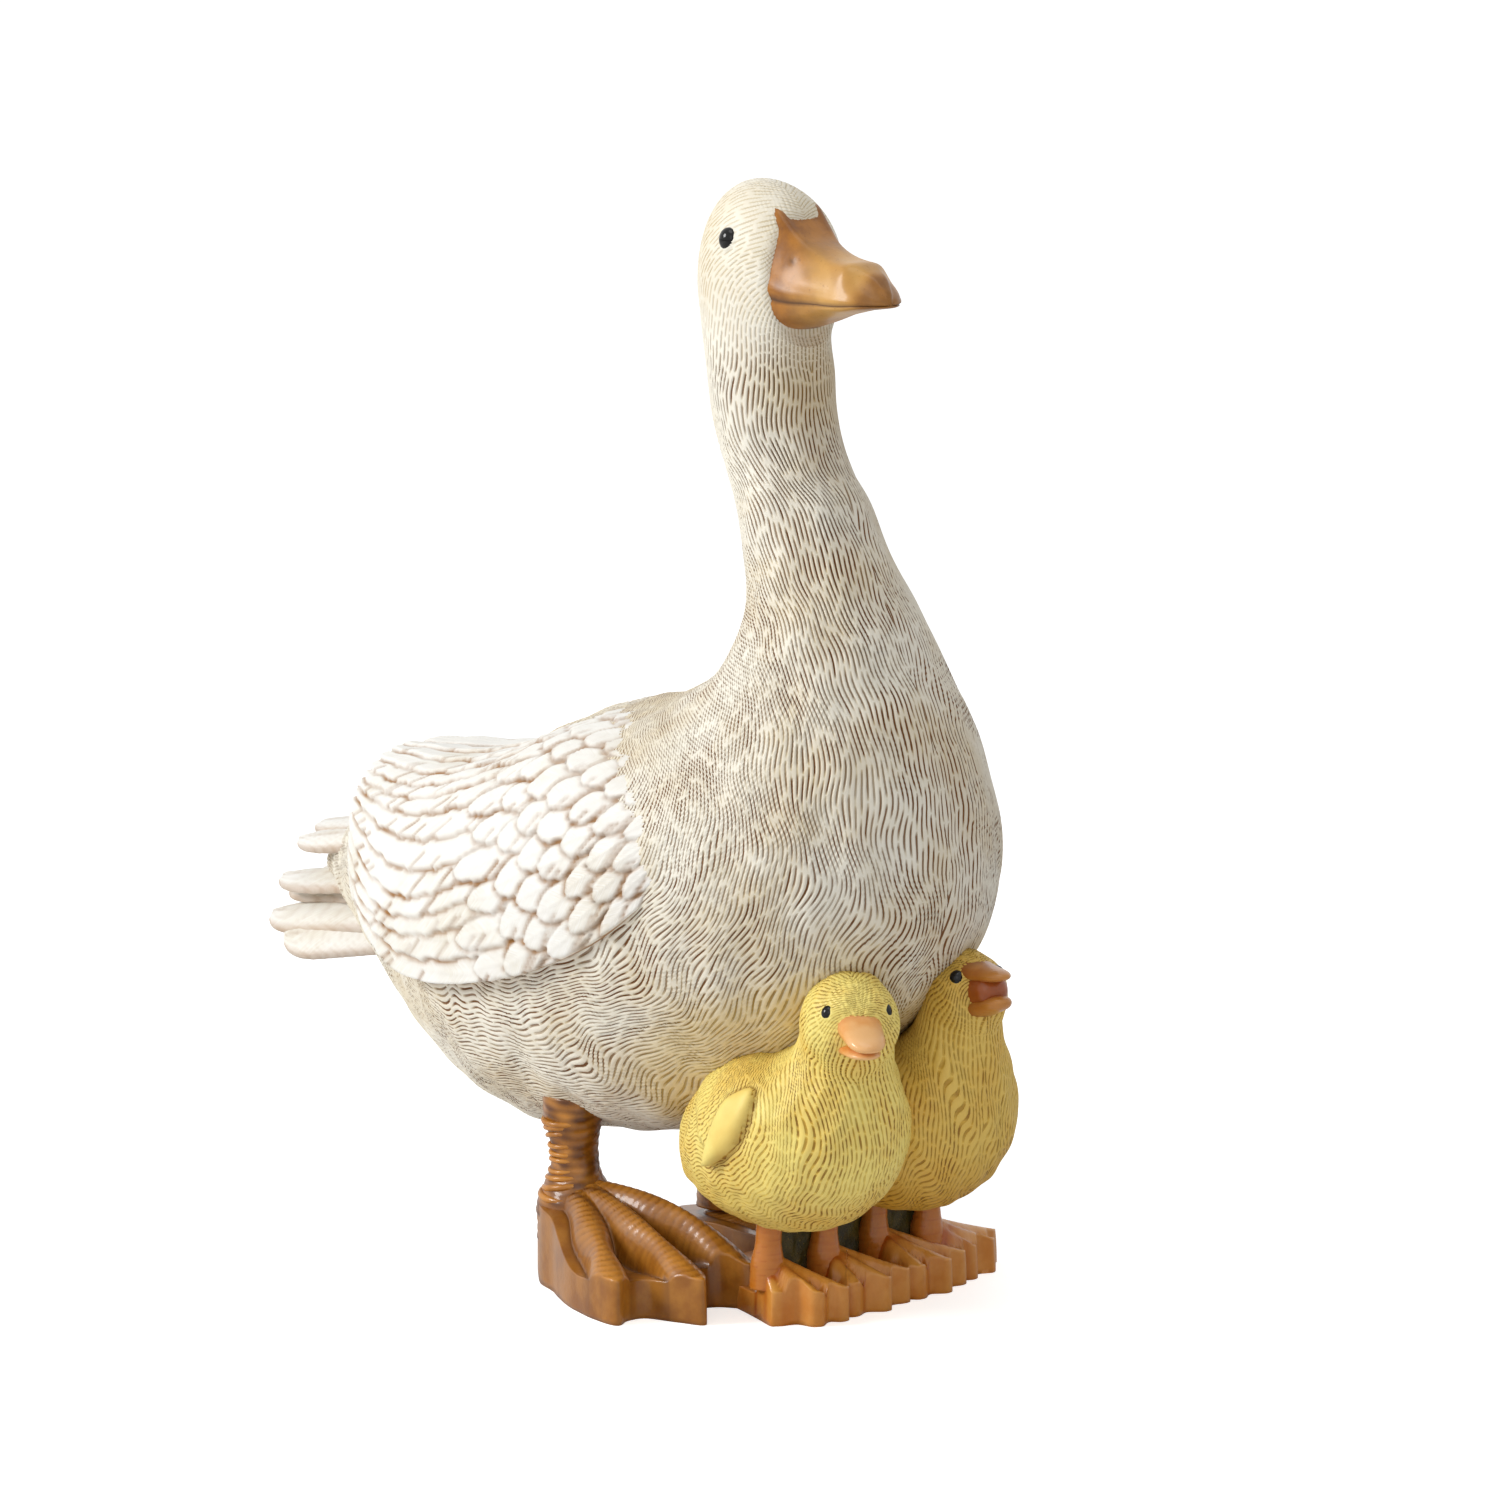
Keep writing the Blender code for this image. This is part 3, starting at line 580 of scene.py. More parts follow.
class Feathers:
    """Feathers laid over one another on a grid: their height, and where their barbs run."""

    def __init__(self, shape, seed):
        self.height = np.zeros(shape)
        self.flow = np.zeros((*shape, 2))
        self.line = np.zeros(shape)
        self.rng = np.random.default_rng(seed)
        self.count = 0

    def lay(self, u, v, length, half, rise, tip_round=0.5, edge_lift=0.0, splits=2, marks=0.3):
        """One feather: u runs from its root, v across it, and rise is how far its tip stands off."""
        self.count += 1
        phase = self.rng.uniform(0, 6.28, 3)
        ragged = 1 + 0.05 * np.sin(u / 3.1 + phase[0]) + 0.04 * np.sin(u / 1.7 + phase[1])
        end = np.clip((u - length * (1 - tip_round)) / (length * tip_round), 0, 1)
        outline = half * ragged * np.sqrt(np.maximum(1 - end ** 2.2, 0)) * np.clip(0.55 + u / length, 0, 1)
        inside = (u > 0) & (u < length) & (np.abs(v) < outline)
        to_edge = outline - np.abs(v)
        share = np.clip(u / length, 0, 1)
        ragged_share = np.clip(0.5 + 0.5 * np.sin(u / 6.3 + phase[2]), 0, 1)
        body = 0.35 + rise * share ** 1.3
        body = body + edge_lift * np.clip(v / half * 0.5 + 0.5, 0, 1) ** 1.4
        body = body * (0.55 + 0.45 * soft_step(0, 1.3, to_edge))
        quill = np.exp(-(v / 0.55) ** 2) * (1 - 0.5 * share)
        groove = np.exp(-((np.abs(v) - 1.1) / 0.45) ** 2) * 0.3
        barb = u - np.abs(v) * BARB_SLANT
        wave = np.sin(barb * 2 * math.pi / BARB_SPACING + phase[2] + 1.6 * np.sin(barb / 5 + phase[0]))
        # The knife split a few barbs at the lower edge
        split = 0 * u
        for place in self.rng.uniform(0.12, 0.95, splits) * length:
            reach = self.rng.uniform(0.0, 0.5)
            split = np.maximum(split, np.exp(-((barb - place + half) / 0.6) ** 2) * (v > half * reach))
        body = body + 0.4 * quill - 0.2 * groove + 0.05 * wave * soft_step(0.6, 1.6, np.abs(v)) - 0.8 * split
        # Just outside its edge the feathers beneath sink into a seam and are marked dark: painted shadow
        # under the edge, with some wash
        seam = (to_edge > -SEAM_WIDTH) & (to_edge <= 0) & (u > length * 0.1) & (u < length + SEAM_WIDTH)
        self.height[seam] -= SEAM_DEPTH
        self.line[seam] = np.maximum(self.line, 0.2 + 0.6 * ragged_share)[seam]
        self.height[inside] = body[inside]
        self.line[inside] = (groove * marks + marks * 0.8 * np.clip(-wave - 0.3, 0, 1) + 0.9 * split)[inside]
        self.flow[inside, 0] = (barb * 1.6 + self.count * 17.3)[inside]
        self.flow[inside, 1] = np.abs(v)[inside]


def blurred(field, reach):
    """A field smoothed over a few points each way."""
    offsets = np.arange(-reach * 2, reach * 2 + 1)
    weights = np.exp(-(offsets / reach) ** 2)
    weights /= weights.sum()
    for axis in (0, 1):
        pad = [(0, 0), (0, 0)]
        pad[axis] = (reach * 2, reach * 2)
        padded = np.pad(field, pad, mode="edge")
        field = sum(weight * np.take(padded, range(shift, shift + field.shape[axis]), axis=axis)
                    for shift, weight in enumerate(weights))
    return field


wing, wing_girth, wing_x = wing_surface()
wing_q = np.linspace(0, 1, WING_COLUMNS)[None, :]
wing_s = (WING_STATIONS[0][0] - wing_x)[:, None]
feathers = Feathers(wing.shape[:2], 21)
for index in range(LONG_FEATHERS):
    up = index / (LONG_FEATHERS - 1)
    middle = LONG_SPREAD[0] - LONG_SPREAD[1] * up
    # The feathers fan open in front and close at the wing's end
    v = (wing_q - middle - 0.02 * np.sin(wing_s / 40 + index)) * wing_girth[:, None]
    root = 78 - 6 * up
    length = (229 - 8 * up - 18 * (1 - up) ** 2) - root
    wide = LONG_SHARE * wing_girth[:, None] + 0.6
    feathers.lay(wing_s - root, v, length, wide, 0.9, 0.10, 1.9, splits=7, marks=0.1)
for index in range(COVERTS):
    up = index / (COVERTS - 1)
    middle = COVERT_SPREAD[0] - COVERT_SPREAD[1] * up
    root = 60 + 18 * up ** 1.2
    row = np.argmin(np.abs(wing_s[:, 0] - root - 20))
    u = wing_s - root
    v = (wing_q - middle) * wing_girth[row] - u * 0.06
    length = COVERT_LENGTH * (0.9 + 0.2 * (index % 2))
    feathers.lay(u, v, length, COVERT_HALF, 1.6, 0.45, 1.0, splits=3, marks=0.15)
for rank in range(SHOULDER_ROWS):
    for index in range(SHOULDER_FEATHERS):
        up = (index + 0.5 * (rank % 2)) / (SHOULDER_FEATHERS - 0.5)
        middle = SHOULDER_SPREAD[0] - SHOULDER_SPREAD[1] * up
        root = 58 - SHOULDER_STEP * rank + 20 * up + feathers.rng.uniform(-2, 2)
        row = np.argmin(np.abs(wing_s[:, 0] - root - 10))
        dx = wing_s - root
        dy = (wing_q - middle) * wing_girth[row]
        slant = math.radians(2 + 14 * (1 - up) + feathers.rng.uniform(-8, 8))
        u = dx * math.cos(slant) + dy * math.sin(slant)
        v = dy * math.cos(slant) - dx * math.sin(slant)
        feathers.lay(u, v, SHOULDER_LENGTH - 1.2 * rank, SHOULDER_HALF - 0.3 * rank, 1.7, 0.6, 0.4,
                     splits=3, marks=0.06 + 0.05 * rank)
wing_height = feathers.height + 0.25 * waves(wing, (14, 19, 26), 9)
wing_height[:, 0] = 0.6 * wing_height[:, 0] + 0.4 * wing_height[:, 1]
# Darker in the hollows and seams: partly wash, partly painted shadow under the feather edges
hollow = np.clip((blurred(feathers.height, 2) - feathers.height) * 1.2 - 0.25, 0, 1)
hollow = hollow + 0.3 * np.clip((blurred(feathers.height, 6) - feathers.height) * 0.8 - 0.1, 0, 1)
feather_wash_and_shade = np.clip(1.2 * blurred(hollow + feathers.line, 1), 0, 1)
feather_wash_and_shade *= 0.6 + 0.4 * soft_step(-0.7, 0.6, waves(wing, (24, 37, 15), 12))


def sided(side, name):
    return ("right_" if side < 0 else "left_") + name


def wing_piece(side):
    points = wing * (1, -side, 1)
    straight = outward(points, ring=False) * side
    raised = points + straight * wing_height[..., None]
    edge_normal = straight[:, -1]
    # The lower edge is rounded over and turns in towards the flank
    rim = [raised[:, -1] - edge_normal * (WING_RIM_DEPTH * share ** 1.3)
           - np.array([0, 0, 0.8]) * math.sin(share * math.pi)
           for share in np.arange(1, WING_RIM_COLUMNS + 1) / WING_RIM_COLUMNS]
    grid = np.concatenate([raised, np.stack(rim, 1)], axis=1)

    def widened(field):
        return np.concatenate([field] + [field[:, -1:]] * WING_RIM_COLUMNS, axis=1)

    # The wash and painted seam shadow, carried onto the rim, whose part that turns in under the edge is
    # painted dark
    wash_shade_and_dark_rim = widened(feather_wash_and_shade)
    wash_shade_and_dark_rim[:, -WING_RIM_COLUMNS + 1:] = 0.9
    quads = ring_faces(*grid.shape[:2], ring=False)[:, ::side]
    item = piece_of(sided(side, "wing"), WING_PAINT, grid, [quads],
                    {"wash": wash_shade_and_dark_rim, "rub": wash_shade_and_dark_rim * 0}, None, widened(feathers.flow))
    finish_piece(item)


def wing_paint():
    """White paint over cream, with wash only in the seams between feathers and barbs, and painted shadow in
    the seams under the feather edges.
    """
    paint = Paint("washed feathers")
    wash = paint.layer("wash")
    patches = paint.noise(30.0, 4.0)
    grain = paint.noise(900.0, 3.0)
    hair = paint.noise(1.0, 2.0, 0.6, paint.stretched((1.0, 0.14, 1.0)))
    ground = paint.mix(paint.between(patches, 0.45, 0.8), painted("F6F4ED"), painted("E9E3D3"))
    ground = paint.mix(paint.between(hair, 0.45, 0.7) * 0.7, ground, painted("FCFBF7"))
    # The seams' layer is partly wash and partly painted shadow under the feather edges
    wash_with_shade = (wash * (0.65 + patches * 0.6) + (0.42 - hair).most(0.0) * 0.3).held()
    colour = paint.mix(wash_with_shade, ground, painted("9C6C32"))
    normal = paint.bumps((hair, 0.00025, 0.7), (grain, 0.0001, 0.5))
    return paint.finish(Base_Color=colour, Roughness=0.42 + wash * 0.25, Normal=normal)


WING_PAINT = wing_paint()
for side in (-1, 1):
    wing_piece(side)

# The tail
# Stiff feathers in two groups that stand out of the rump under the wing tips, each modelled as a flat
# blade with a quill line, and painted white like the wings.

TAIL_ROOT = -178.0
BLADE_THICKNESS = 2.9
BLADE_ROWS = 44
BLADE_COLUMNS = 36
# Each feather: x and z of its tip, turn to the side in degrees, height of its root, width
TAIL_FEATHERS = [
    (-240, 105, 26, 115, 28), (-240, 105, -26, 115, 28), (-258, 110, 14, 121, 30), (-258, 110, -14, 121, 30),
    (-266, 116, 0, 128, 30), (-260, 123, 9, 133, 26), (-260, 123, -9, 133, 26),
    (-245, 140, 15, 150, 20), (-245, 140, -15, 150, 20), (-252, 143, 0, 153, 24)]


def around(count):
    """Angles of a ring's points, as a row that broadcasts over rings."""
    return (np.arange(count) / count * 2 * math.pi)[None, :]


def blade(root, tip, width, tilt):
    """A flat feather as rings from root to tip."""
    root = np.asarray(root, float)
    way = np.asarray(tip, float) - root
    length = np.linalg.norm(way)
    way = way / length
    aside = unit(np.cross(way, (0, 0, 1.0)))
    up = np.cross(aside, way)
    aside, up = (aside * math.cos(tilt) + up * math.sin(tilt), up * math.cos(tilt) - aside * math.sin(tilt))
    share = np.linspace(0, 1, BLADE_ROWS)[:, None]
    end = np.clip((share - 0.72) / 0.28, 0, 1)
    wide = width / 2 * np.sqrt(np.maximum(1 - end ** 2.4, 0.0004)) * (0.7 + 0.3 * soft_step(0, 0.35, share))
    angle = around(BLADE_COLUMNS)
    v = np.sin(angle) * wide
    u = share * length + 0 * v
    thin = BLADE_THICKNESS * (0.35 + 0.65 * np.sqrt(np.maximum(1 - end, 0)))
    h = np.sign(np.cos(angle)) * np.abs(np.cos(angle)) ** 0.6 * thin
    quill = np.exp(-(v / 0.8) ** 2) * 0.6
    barb = u - np.abs(v) * 1.1
    wave = np.sin(barb * 2 * math.pi / 2.6 + length) * 0.09
    h = h + np.sign(h) * (quill + wave * soft_step(0.8, 2.0, np.abs(v)))
    arch = -0.012 * v ** 2
    points = root + u[..., None] * way + v[..., None] * aside + (h + arch)[..., None] * up
    wash = 0.5 * soft_step(0.35, 0.0, share) + 0.2 * np.clip(-wave * 8, 0, 1)
    wash = wash + 0.3 * np.exp(-((np.abs(v) - 1.7) / 0.6) ** 2)
    wash = wash + 0.5 * soft_step(0.8, 1.0, np.abs(np.sin(angle)))
    return points, np.clip(wash, 0, 1), np.stack([barb * 1.6 + length, np.abs(v)], -1)


def loft_piece(name, points, material, layers=None, flow=None):
    """A closed piece from rings of points, with a fan of faces at both ends."""
    turn = -1 if (outward(points) * (points - points.mean(axis=(0, 1)))).sum() < 0 else 1
    points = points[:, ::turn]
    rows, columns = points.shape[:2]
    ends = [points[0].mean(axis=0), points[-1].mean(axis=0)]

    def full(field):
        return np.concatenate(
            [field[:, ::turn].reshape(-1, *field.shape[2:]), field[:1].mean(axis=1), field[-1:].mean(axis=1)])

    faces = [ring_faces(rows, columns), fan(rows * columns, np.arange(columns), True),
             fan(rows * columns + 1, (rows - 1) * columns + np.arange(columns), False)]
    item = piece_of(name, material, np.concatenate([points.reshape(-1, 3), ends]), faces,
                    {label: full(field) for label, field in (layers or {}).items()}, None,
                    None if flow is None else full(flow))
    finish_piece(item)


for number, (tip_x, tip_z, aside, root_z, width) in enumerate(TAIL_FEATHERS):
    reach = (tip_x - TAIL_ROOT) * math.tan(math.radians(aside))
    points, blade_wash, blade_flow = blade(
        (TAIL_ROOT, reach * 0.12, root_z), (tip_x, reach, tip_z), width, math.radians(aside * 0.9))
    loft_piece(f"tail_feather_{number + 1}", points, WING_PAINT,
               {"wash": blade_wash, "rub": blade_wash * 0}, blade_flow)

# The bill
# Cast with the head and painted orange brown under a satin varnish: an upper half that overlaps the
# lower one at the mouth line, a nostril on each side, and a harder nail at the tip.

# Each section: distance ahead of the head's middle, height of the ridge, the mouth line and the
# underside, half width, and half width of the flat top, whose two corners frame the forehead
BILL_SECTIONS = [
    (8, 403, 375.5, 356.5, 18.0, 10.5), (15, 403, 374.4, 356.8, 18.3, 10.5),
    (19.5, 401.6, 372.6, 357.8, 17.9, 10.3), (25, 396.6, 371.0, 359.4, 16.9, 9.8),
    (31, 391.9, 370.4, 361.2, 15.7, 9.0), (38, 388.3, 370.4, 363.4, 14.6, 8.6),
    (44, 386.4, 370.5, 365.4, 13.9, 8.8), (50, 385.6, 370.6, 367.2, 13.4, 9.0),
    (56, 385.0, 370.9, 368.6, 12.8, 8.8), (61, 382.7, 371.2, 369.6, 11.6, 6.2),
    (65, 380.8, 371.4, 370.2, 9.4, 4.6), (68.2, 377.8, 371.6, 370.7, 6.8, 3.3),
    (70.2, 375.6, 371.8, 371.1, 4.0, 1.8), (71.0, 373.2, 372.0, 371.6, 1.3, 0.6)]
BILL_ROW = 0.7
BILL_COLUMNS = 100
NOSTRIL = (31.5, 12.6, 385.5)
NOSTRIL_STRETCH = 1.9
NOSTRIL_REACH = 1.5


def bill_surface():
    sides = np.array([(section[0], section[1], section[0], section[3]) for section in BILL_SECTIONS])
    values = through(BILL_SECTIONS, even_places(sides, BILL_ROW))
    angle = around(BILL_COLUMNS)[0]
    quarter = np.linspace(0, 4, 200)
    points = np.zeros((len(values), BILL_COLUMNS, 3))
    for row, (d, ridge, mouth, low, width, flat) in enumerate(values):
        # Half of the upper outline: a hollowed top, a rounded corner and a side that bellies out
        crown = soft_step(18, 38, d)
        sag = 0.4 - 1.5 * crown
        shape = through([(0, ridge - sag), (flat * 0.6, ridge - sag * 0.6),
                         (flat, ridge - 0.5 - 0.9 * crown),
                         (width * 0.93, mouth + (ridge - mouth) * 0.42), (width, mouth)], quarter)
        travelled = np.concatenate([[0], np.cumsum(np.hypot(*np.diff(shape, axis=0).T))])
        share = np.where(angle > math.pi, 2 * math.pi - angle, angle) / (math.pi / 2)
        spot = np.clip(share, 0, 1) * travelled[-1]
        y = np.where(share <= 1, np.interp(spot, travelled, shape[:, 0]),
                     width * 0.95 * np.sin(share * math.pi / 2) ** 0.8)
        z = np.where(share <= 1, np.interp(spot, travelled, shape[:, 1]),
                     mouth + (mouth - low) * np.cos(share * math.pi / 2))
        points[row] = np.stack([0 * y + d + HEAD_AXIS, y * np.where(angle > math.pi, -1, 1), z], -1)
    d = values[:, :1]
    angle = angle[None, :]
    upper = np.cos(angle) >= 0
    from_mouth = np.minimum(np.abs(angle - math.pi / 2), np.abs(angle - 3 * math.pi / 2))
    line = np.exp(-(from_mouth / 0.07) ** 2) * soft_step(9, 14, d)
    lip = np.exp(-((from_mouth - 0.16) / 0.1) ** 2) * upper
    return points, line, lip


bill, mouth_line, lip = bill_surface()
nostril_size = np.array([NOSTRIL_STRETCH, 1, 1])
nostrils = np.maximum(*[near(bill / nostril_size, spot / nostril_size, NOSTRIL_REACH)
                        for spot in np.array(NOSTRIL) * ((1, 1, 1), (1, -1, 1)) + (HEAD_AXIS, 0, 0)])
dents = waves(bill, (14, 19, 11), 31) * 0.12
bill_height = dents - 0.9 * mouth_line + 0.35 * lip - 0.35 * nostrils
inward = outward(bill)
if (inward * (bill - bill.mean(axis=(0, 1)))).sum() < 0:
    inward = -inward
bill_points = turned(bill + inward * bill_height[..., None], HEAD_TURN, HEAD_AXIS)
ahead = bill[..., 0] - HEAD_AXIS
bill_dark = np.clip(mouth_line * 0.9 + nostrils * 1.2 + soft_step(16, 12.5, ahead) * 0.3, 0, 1)
bill_dark = np.clip(bill_dark + 0.3 * soft_step(62, 68, ahead), 0, 1)
bill_pale = soft_step(24, 50, ahead) * (1 - 0.8 * soft_step(60, 66, ahead))
bill_pale *= 0.75 + 0.25 * soft_step(-0.8, 0.7, waves(bill, (15, 22, 12), 8))


def bill_paint():
    """Orange-brown paint thinned towards the tip, with darker brushed patches under satin varnish."""
    paint = Paint("varnished bill")
    dark = paint.layer("dark")
    pale = paint.layer("pale")
    clouds = paint.noise(120.0, 4.0)
    specks = paint.noise(700.0, 2.0)
    colour = paint.mix(paint.between(clouds, 0.3, 0.7), painted("885008"), painted("AE6E16"))
    colour = paint.mix(pale * 0.85, colour, painted("D4A255"))
    colour = paint.mix(paint.between(specks, 0.62, 0.75) * 0.3, colour, painted("7A4410"))
    colour = paint.mix(dark, colour, painted("4E2D0E"))
    normal = paint.bumps((clouds, 0.0004, 0.4), (specks, 0.00012, 0.4))
    return paint.finish(Base_Color=colour, Roughness=0.36 + specks * 0.1, Normal=normal, Coat_Weight=0.25,
                        Coat_Roughness=0.2, Specular_IOR_Level=0.35)


loft_piece("bill", bill_points, bill_paint(), {"dark": bill_dark, "pale": bill_pale})

# The duck's eyes
# Small domes painted black and varnished, sunk a little in a pale rim.

EYE_DIAMETER = 9.0


def eye_paint():
    paint = Paint("black varnish")
    specks = paint.noise(500.0, 2.0)
    colour = paint.mix(specks, (0.002, 0.002, 0.002), (0.006, 0.005, 0.004))
    return paint.finish(Base_Color=colour, Roughness=0.1, Specular_IOR_Level=0.35)


EYE_PAINT = eye_paint()


def ball(centre, sizes, rows=40, columns=48):
    """An ellipsoid as rings from front to back."""
    polar = np.linspace(0.02, math.pi - 0.02, rows)[:, None]
    angle = around(columns)
    points = np.stack(np.broadcast_arrays(np.cos(polar) + 0 * angle, np.sin(polar) * np.sin(angle),
                                          np.sin(polar) * np.cos(angle)), -1)
    return points * sizes + np.asarray(centre)


for side in (-1, 1):
    dome = ball((EYE_SPOT[0], side * (EYE_SPOT[1] - 1.0), EYE_SPOT[2]),
                (EYE_DIAMETER * 0.46, 3.3, EYE_DIAMETER * 0.5))
    loft_piece(sided(side, "eye"), turned(dome, HEAD_TURN, HEAD_AXIS), EYE_PAINT)

# The duck's legs and webbed feet
# Stout scaly legs that come out of the belly, and feet with three ridged toes and sunk webs on a solid
# sole, painted caramel brown and varnished so that the ridges shine.

ANKLE_X = -71.0
LEG_SPREAD = 76.0
FOOT_LENGTH = 86.0
FOOT_ANGLE = 11.0
SOLE_POLAR = [
    (-180, .22), (-140, .168), (-100, .165), (-62, .22), (-45, .34), (-33, .56), (-26.5, .73), (-21, .86),
    (-16.5, .79), (-10, .775), (-4, .90), (0, 1.0), (4, .91), (10, .775), (16.5, .80), (21, .94),
    (26, .79), (32, .58), (45, .34), (62, .22), (100, .165), (140, .168), (180, .22)]
# Each toe: its turn from the foot's middle, its reach, and how long its back stays high
TOES = ((-21, .83, 1.2), (0, .99, 1.6), (21, .92, 2.8))
WEB_LEVEL = 14.2
TOE_RADIUS = 6.6
TOE_FOLDS = 0.6
HEEL_LIFT = 10.0
SOLE_COLUMNS = 260
SOLE_WALL_ROWS = 12
SOLE_TOP_ROWS = 76
LEG_TOP = 70
LEG_RADIUS = 8.8
LEG_ROWS = 80
LEG_COLUMNS = 64


def foot_paint(name="varnished foot", low="5E3204", middle="9C5E0E", high="CB8830"):
    """Caramel paint, rubbed pale on the ridges and dark in the folds, under clear varnish."""
    paint = Paint(name)
    dark = paint.layer("dark")
    pale = paint.layer("pale")
    clouds = paint.noise(90.0, 4.0)
    specks = paint.noise(600.0, 3.0)
    colour = paint.mix(paint.between(clouds, 0.3, 0.7), painted(middle), painted(high))
    colour = paint.mix(pale * 0.7, colour, painted(high))
    colour = paint.mix((dark * (0.7 + clouds * 0.6)).held(), colour, painted(low))
    normal = paint.bumps((clouds, 0.0008, 0.4), (specks, 0.00015, 0.5))
    return paint.finish(Base_Color=colour, Roughness=0.32 + clouds * 0.1, Normal=normal, Coat_Weight=0.45,
                        Coat_Roughness=0.12, Specular_IOR_Level=0.3)


FOOT_PAINT = foot_paint()


def even_outline(line, count):
    """Points spread evenly along a closed line."""
    travelled = np.concatenate([[0], np.cumsum(np.linalg.norm(np.diff(line, axis=0), axis=1))])
    spots = np.linspace(0, travelled[-1], count + 1)[:-1]
    return np.stack([np.interp(spots, travelled, line[:, axis]) for axis in (0, 1)], -1)


def slab(centre, outline, top_of, wall_rows, top_rows, low=0.0):
    """A solid sole as rings: out over its modelled top, down its wall, with a flat underside."""
    centre = np.asarray(centre, float)
    share = np.linspace(0.01, 1, top_rows)[:, None, None]
    plan = centre + (outline[None] - centre) * share
    top, dark, pale = top_of(plan)
    # The rim is rounded over and the wall flares out a little to the ground
    part = (np.arange(1, wall_rows + 1) / wall_rows)[:, None]
    wall = top[-1] + (low - top[-1]) * part ** 1.2
    flare = 1 + 0.012 * np.sin(part * math.pi / 2)
    plan = np.concatenate([plan, centre + (outline - centre) * flare[..., None]])
    points = np.concatenate([plan, np.concatenate([top, wall])[..., None]], -1)
    dark = np.concatenate([dark, np.repeat(dark[-1:], wall_rows, 0) * 0.4 + 0.25])
    pale = np.concatenate([pale, np.repeat(pale[-1:], wall_rows, 0) * 0.3])
    return points, np.clip(dark, 0, 1), np.clip(pale, 0, 1)


def toe_top(plan, toes, web, radius, fold_height):
    """Height of toes and webs over a plan, with the folds dark and the ridges pale.

    Each toe: place of its root and tip, the heights of its back there, and how long it stays high."""
    height = web(plan)
    dark = 0.35 + 0 * height
    pale = 0 * height
    for root, tip, root_height, tip_height, arch in toes:
        root = np.asarray(root, float)
        way = np.asarray(tip, float) - root
        length = np.linalg.norm(way)
        way = way / length
        along = np.clip((plan - root) @ way, 0, length)
        off = np.linalg.norm(plan - root - along[..., None] * way, axis=-1)
        share = along / length
        knuckle = 1 + 0.10 * np.sin(share * 2 * math.pi * 2.5 + 0.6)
        wide = radius * knuckle * (1.1 - 0.15 * share)
        ridge = np.sqrt(np.maximum(1 - (off / wide) ** 2, 0))
        fold = np.abs(np.sin(math.pi * (along + 0.12 * off ** 2) / 3.3)) ** 0.5
        back = root_height + (tip_height - root_height) * share ** arch
        toe = (web(plan) - 1.5) + (back + fold_height * (fold - 0.7) - web(plan) + 1.5) * ridge
        over = toe > height
        height = np.where(over, toe, height)
        dark = np.where(over, 0.5 * fold_height * (1 - fold) + 0.35 * (1 - ridge) + 0.35 * (1 - share), dark)
        pale = np.where(over, ridge ** 3 * fold, pale)
        dark = dark + 0.5 * np.exp(-((off - wide) / 1.2) ** 2) * ~over
    return height, dark, pale


def duck_foot(side, instep):
    """A foot whose toes start at the height of the instep."""
    table = np.array(SOLE_POLAR, float)
    fine = np.linspace(0, len(table) - 1, 2400)
    polar = through(table, fine)
    angle = np.radians(polar[:, 0] * -side + side * FOOT_ANGLE)
    ankle = np.array([ANKLE_X, side * LEG_SPREAD / 2])
    line = ankle + (polar[:, 1] * FOOT_LENGTH)[:, None] * np.stack([np.cos(angle), np.sin(angle)], -1)
    outline = even_outline(line, SOLE_COLUMNS)
    toes = []
    for degrees, reach, arch in TOES:
        way = math.radians(-side * degrees + side * FOOT_ANGLE)
        tip = ankle + np.array([math.cos(way), math.sin(way)]) * (FOOT_LENGTH * reach - 1)
        toes.append((ankle, tip, instep, min(instep, 17.2), arch))

    def web(plan):
        reach = np.linalg.norm(plan - ankle, axis=-1) / FOOT_LENGTH
        level = WEB_LEVEL - 1.2 + 1.6 * soft_step(0.45, 0.85, reach)
        return level + (instep - 15) * 0.7 * soft_step(0.62, 0.1, reach)

    def top_of(plan):
        return toe_top(plan, toes, web, TOE_RADIUS, TOE_FOLDS)

    lift = HEEL_LIFT * soft_step(-4, -19, outline[:, 0] - ANKLE_X)
    points, dark, pale = slab(ankle, outline, top_of, SOLE_WALL_ROWS, SOLE_TOP_ROWS, lift)
    loft_piece(sided(side, "foot"), points, FOOT_PAINT, {"dark": dark, "pale": pale})


def duck_leg(side, flare):
    """A leg from inside the belly down to its foot, creased where the scales meet."""
    z = np.linspace(LEG_TOP, 16, LEG_ROWS)[:, None]
    angle = around(LEG_COLUMNS)
    round_the_leg = np.stack(np.broadcast_arrays(8 * np.cos(angle), 8 * np.sin(angle), z * 2.2), -1)
    crease = waves(round_the_leg, (7, 9, 6), 44)
    radius = LEG_RADIUS + 2.4 * soft_step(48, 66, z) + flare * soft_step(46, 26, z) + 0.22 * crease
    x = ANKLE_X - 2 + 3.5 * (LEG_TOP - z) / 55 + radius * np.cos(angle) * 1.05
    y = side * (LEG_SPREAD / 2 - 0.5) + radius * np.sin(angle) * 0.95
    points = np.stack(np.broadcast_arrays(x, y, z + 0 * angle), -1)
    dark = np.clip(0.55 + 0.3 * crease, 0, 1)
    loft_piece(sided(side, "leg"), points, FOOT_PAINT, {"dark": dark, "pale": dark * 0})


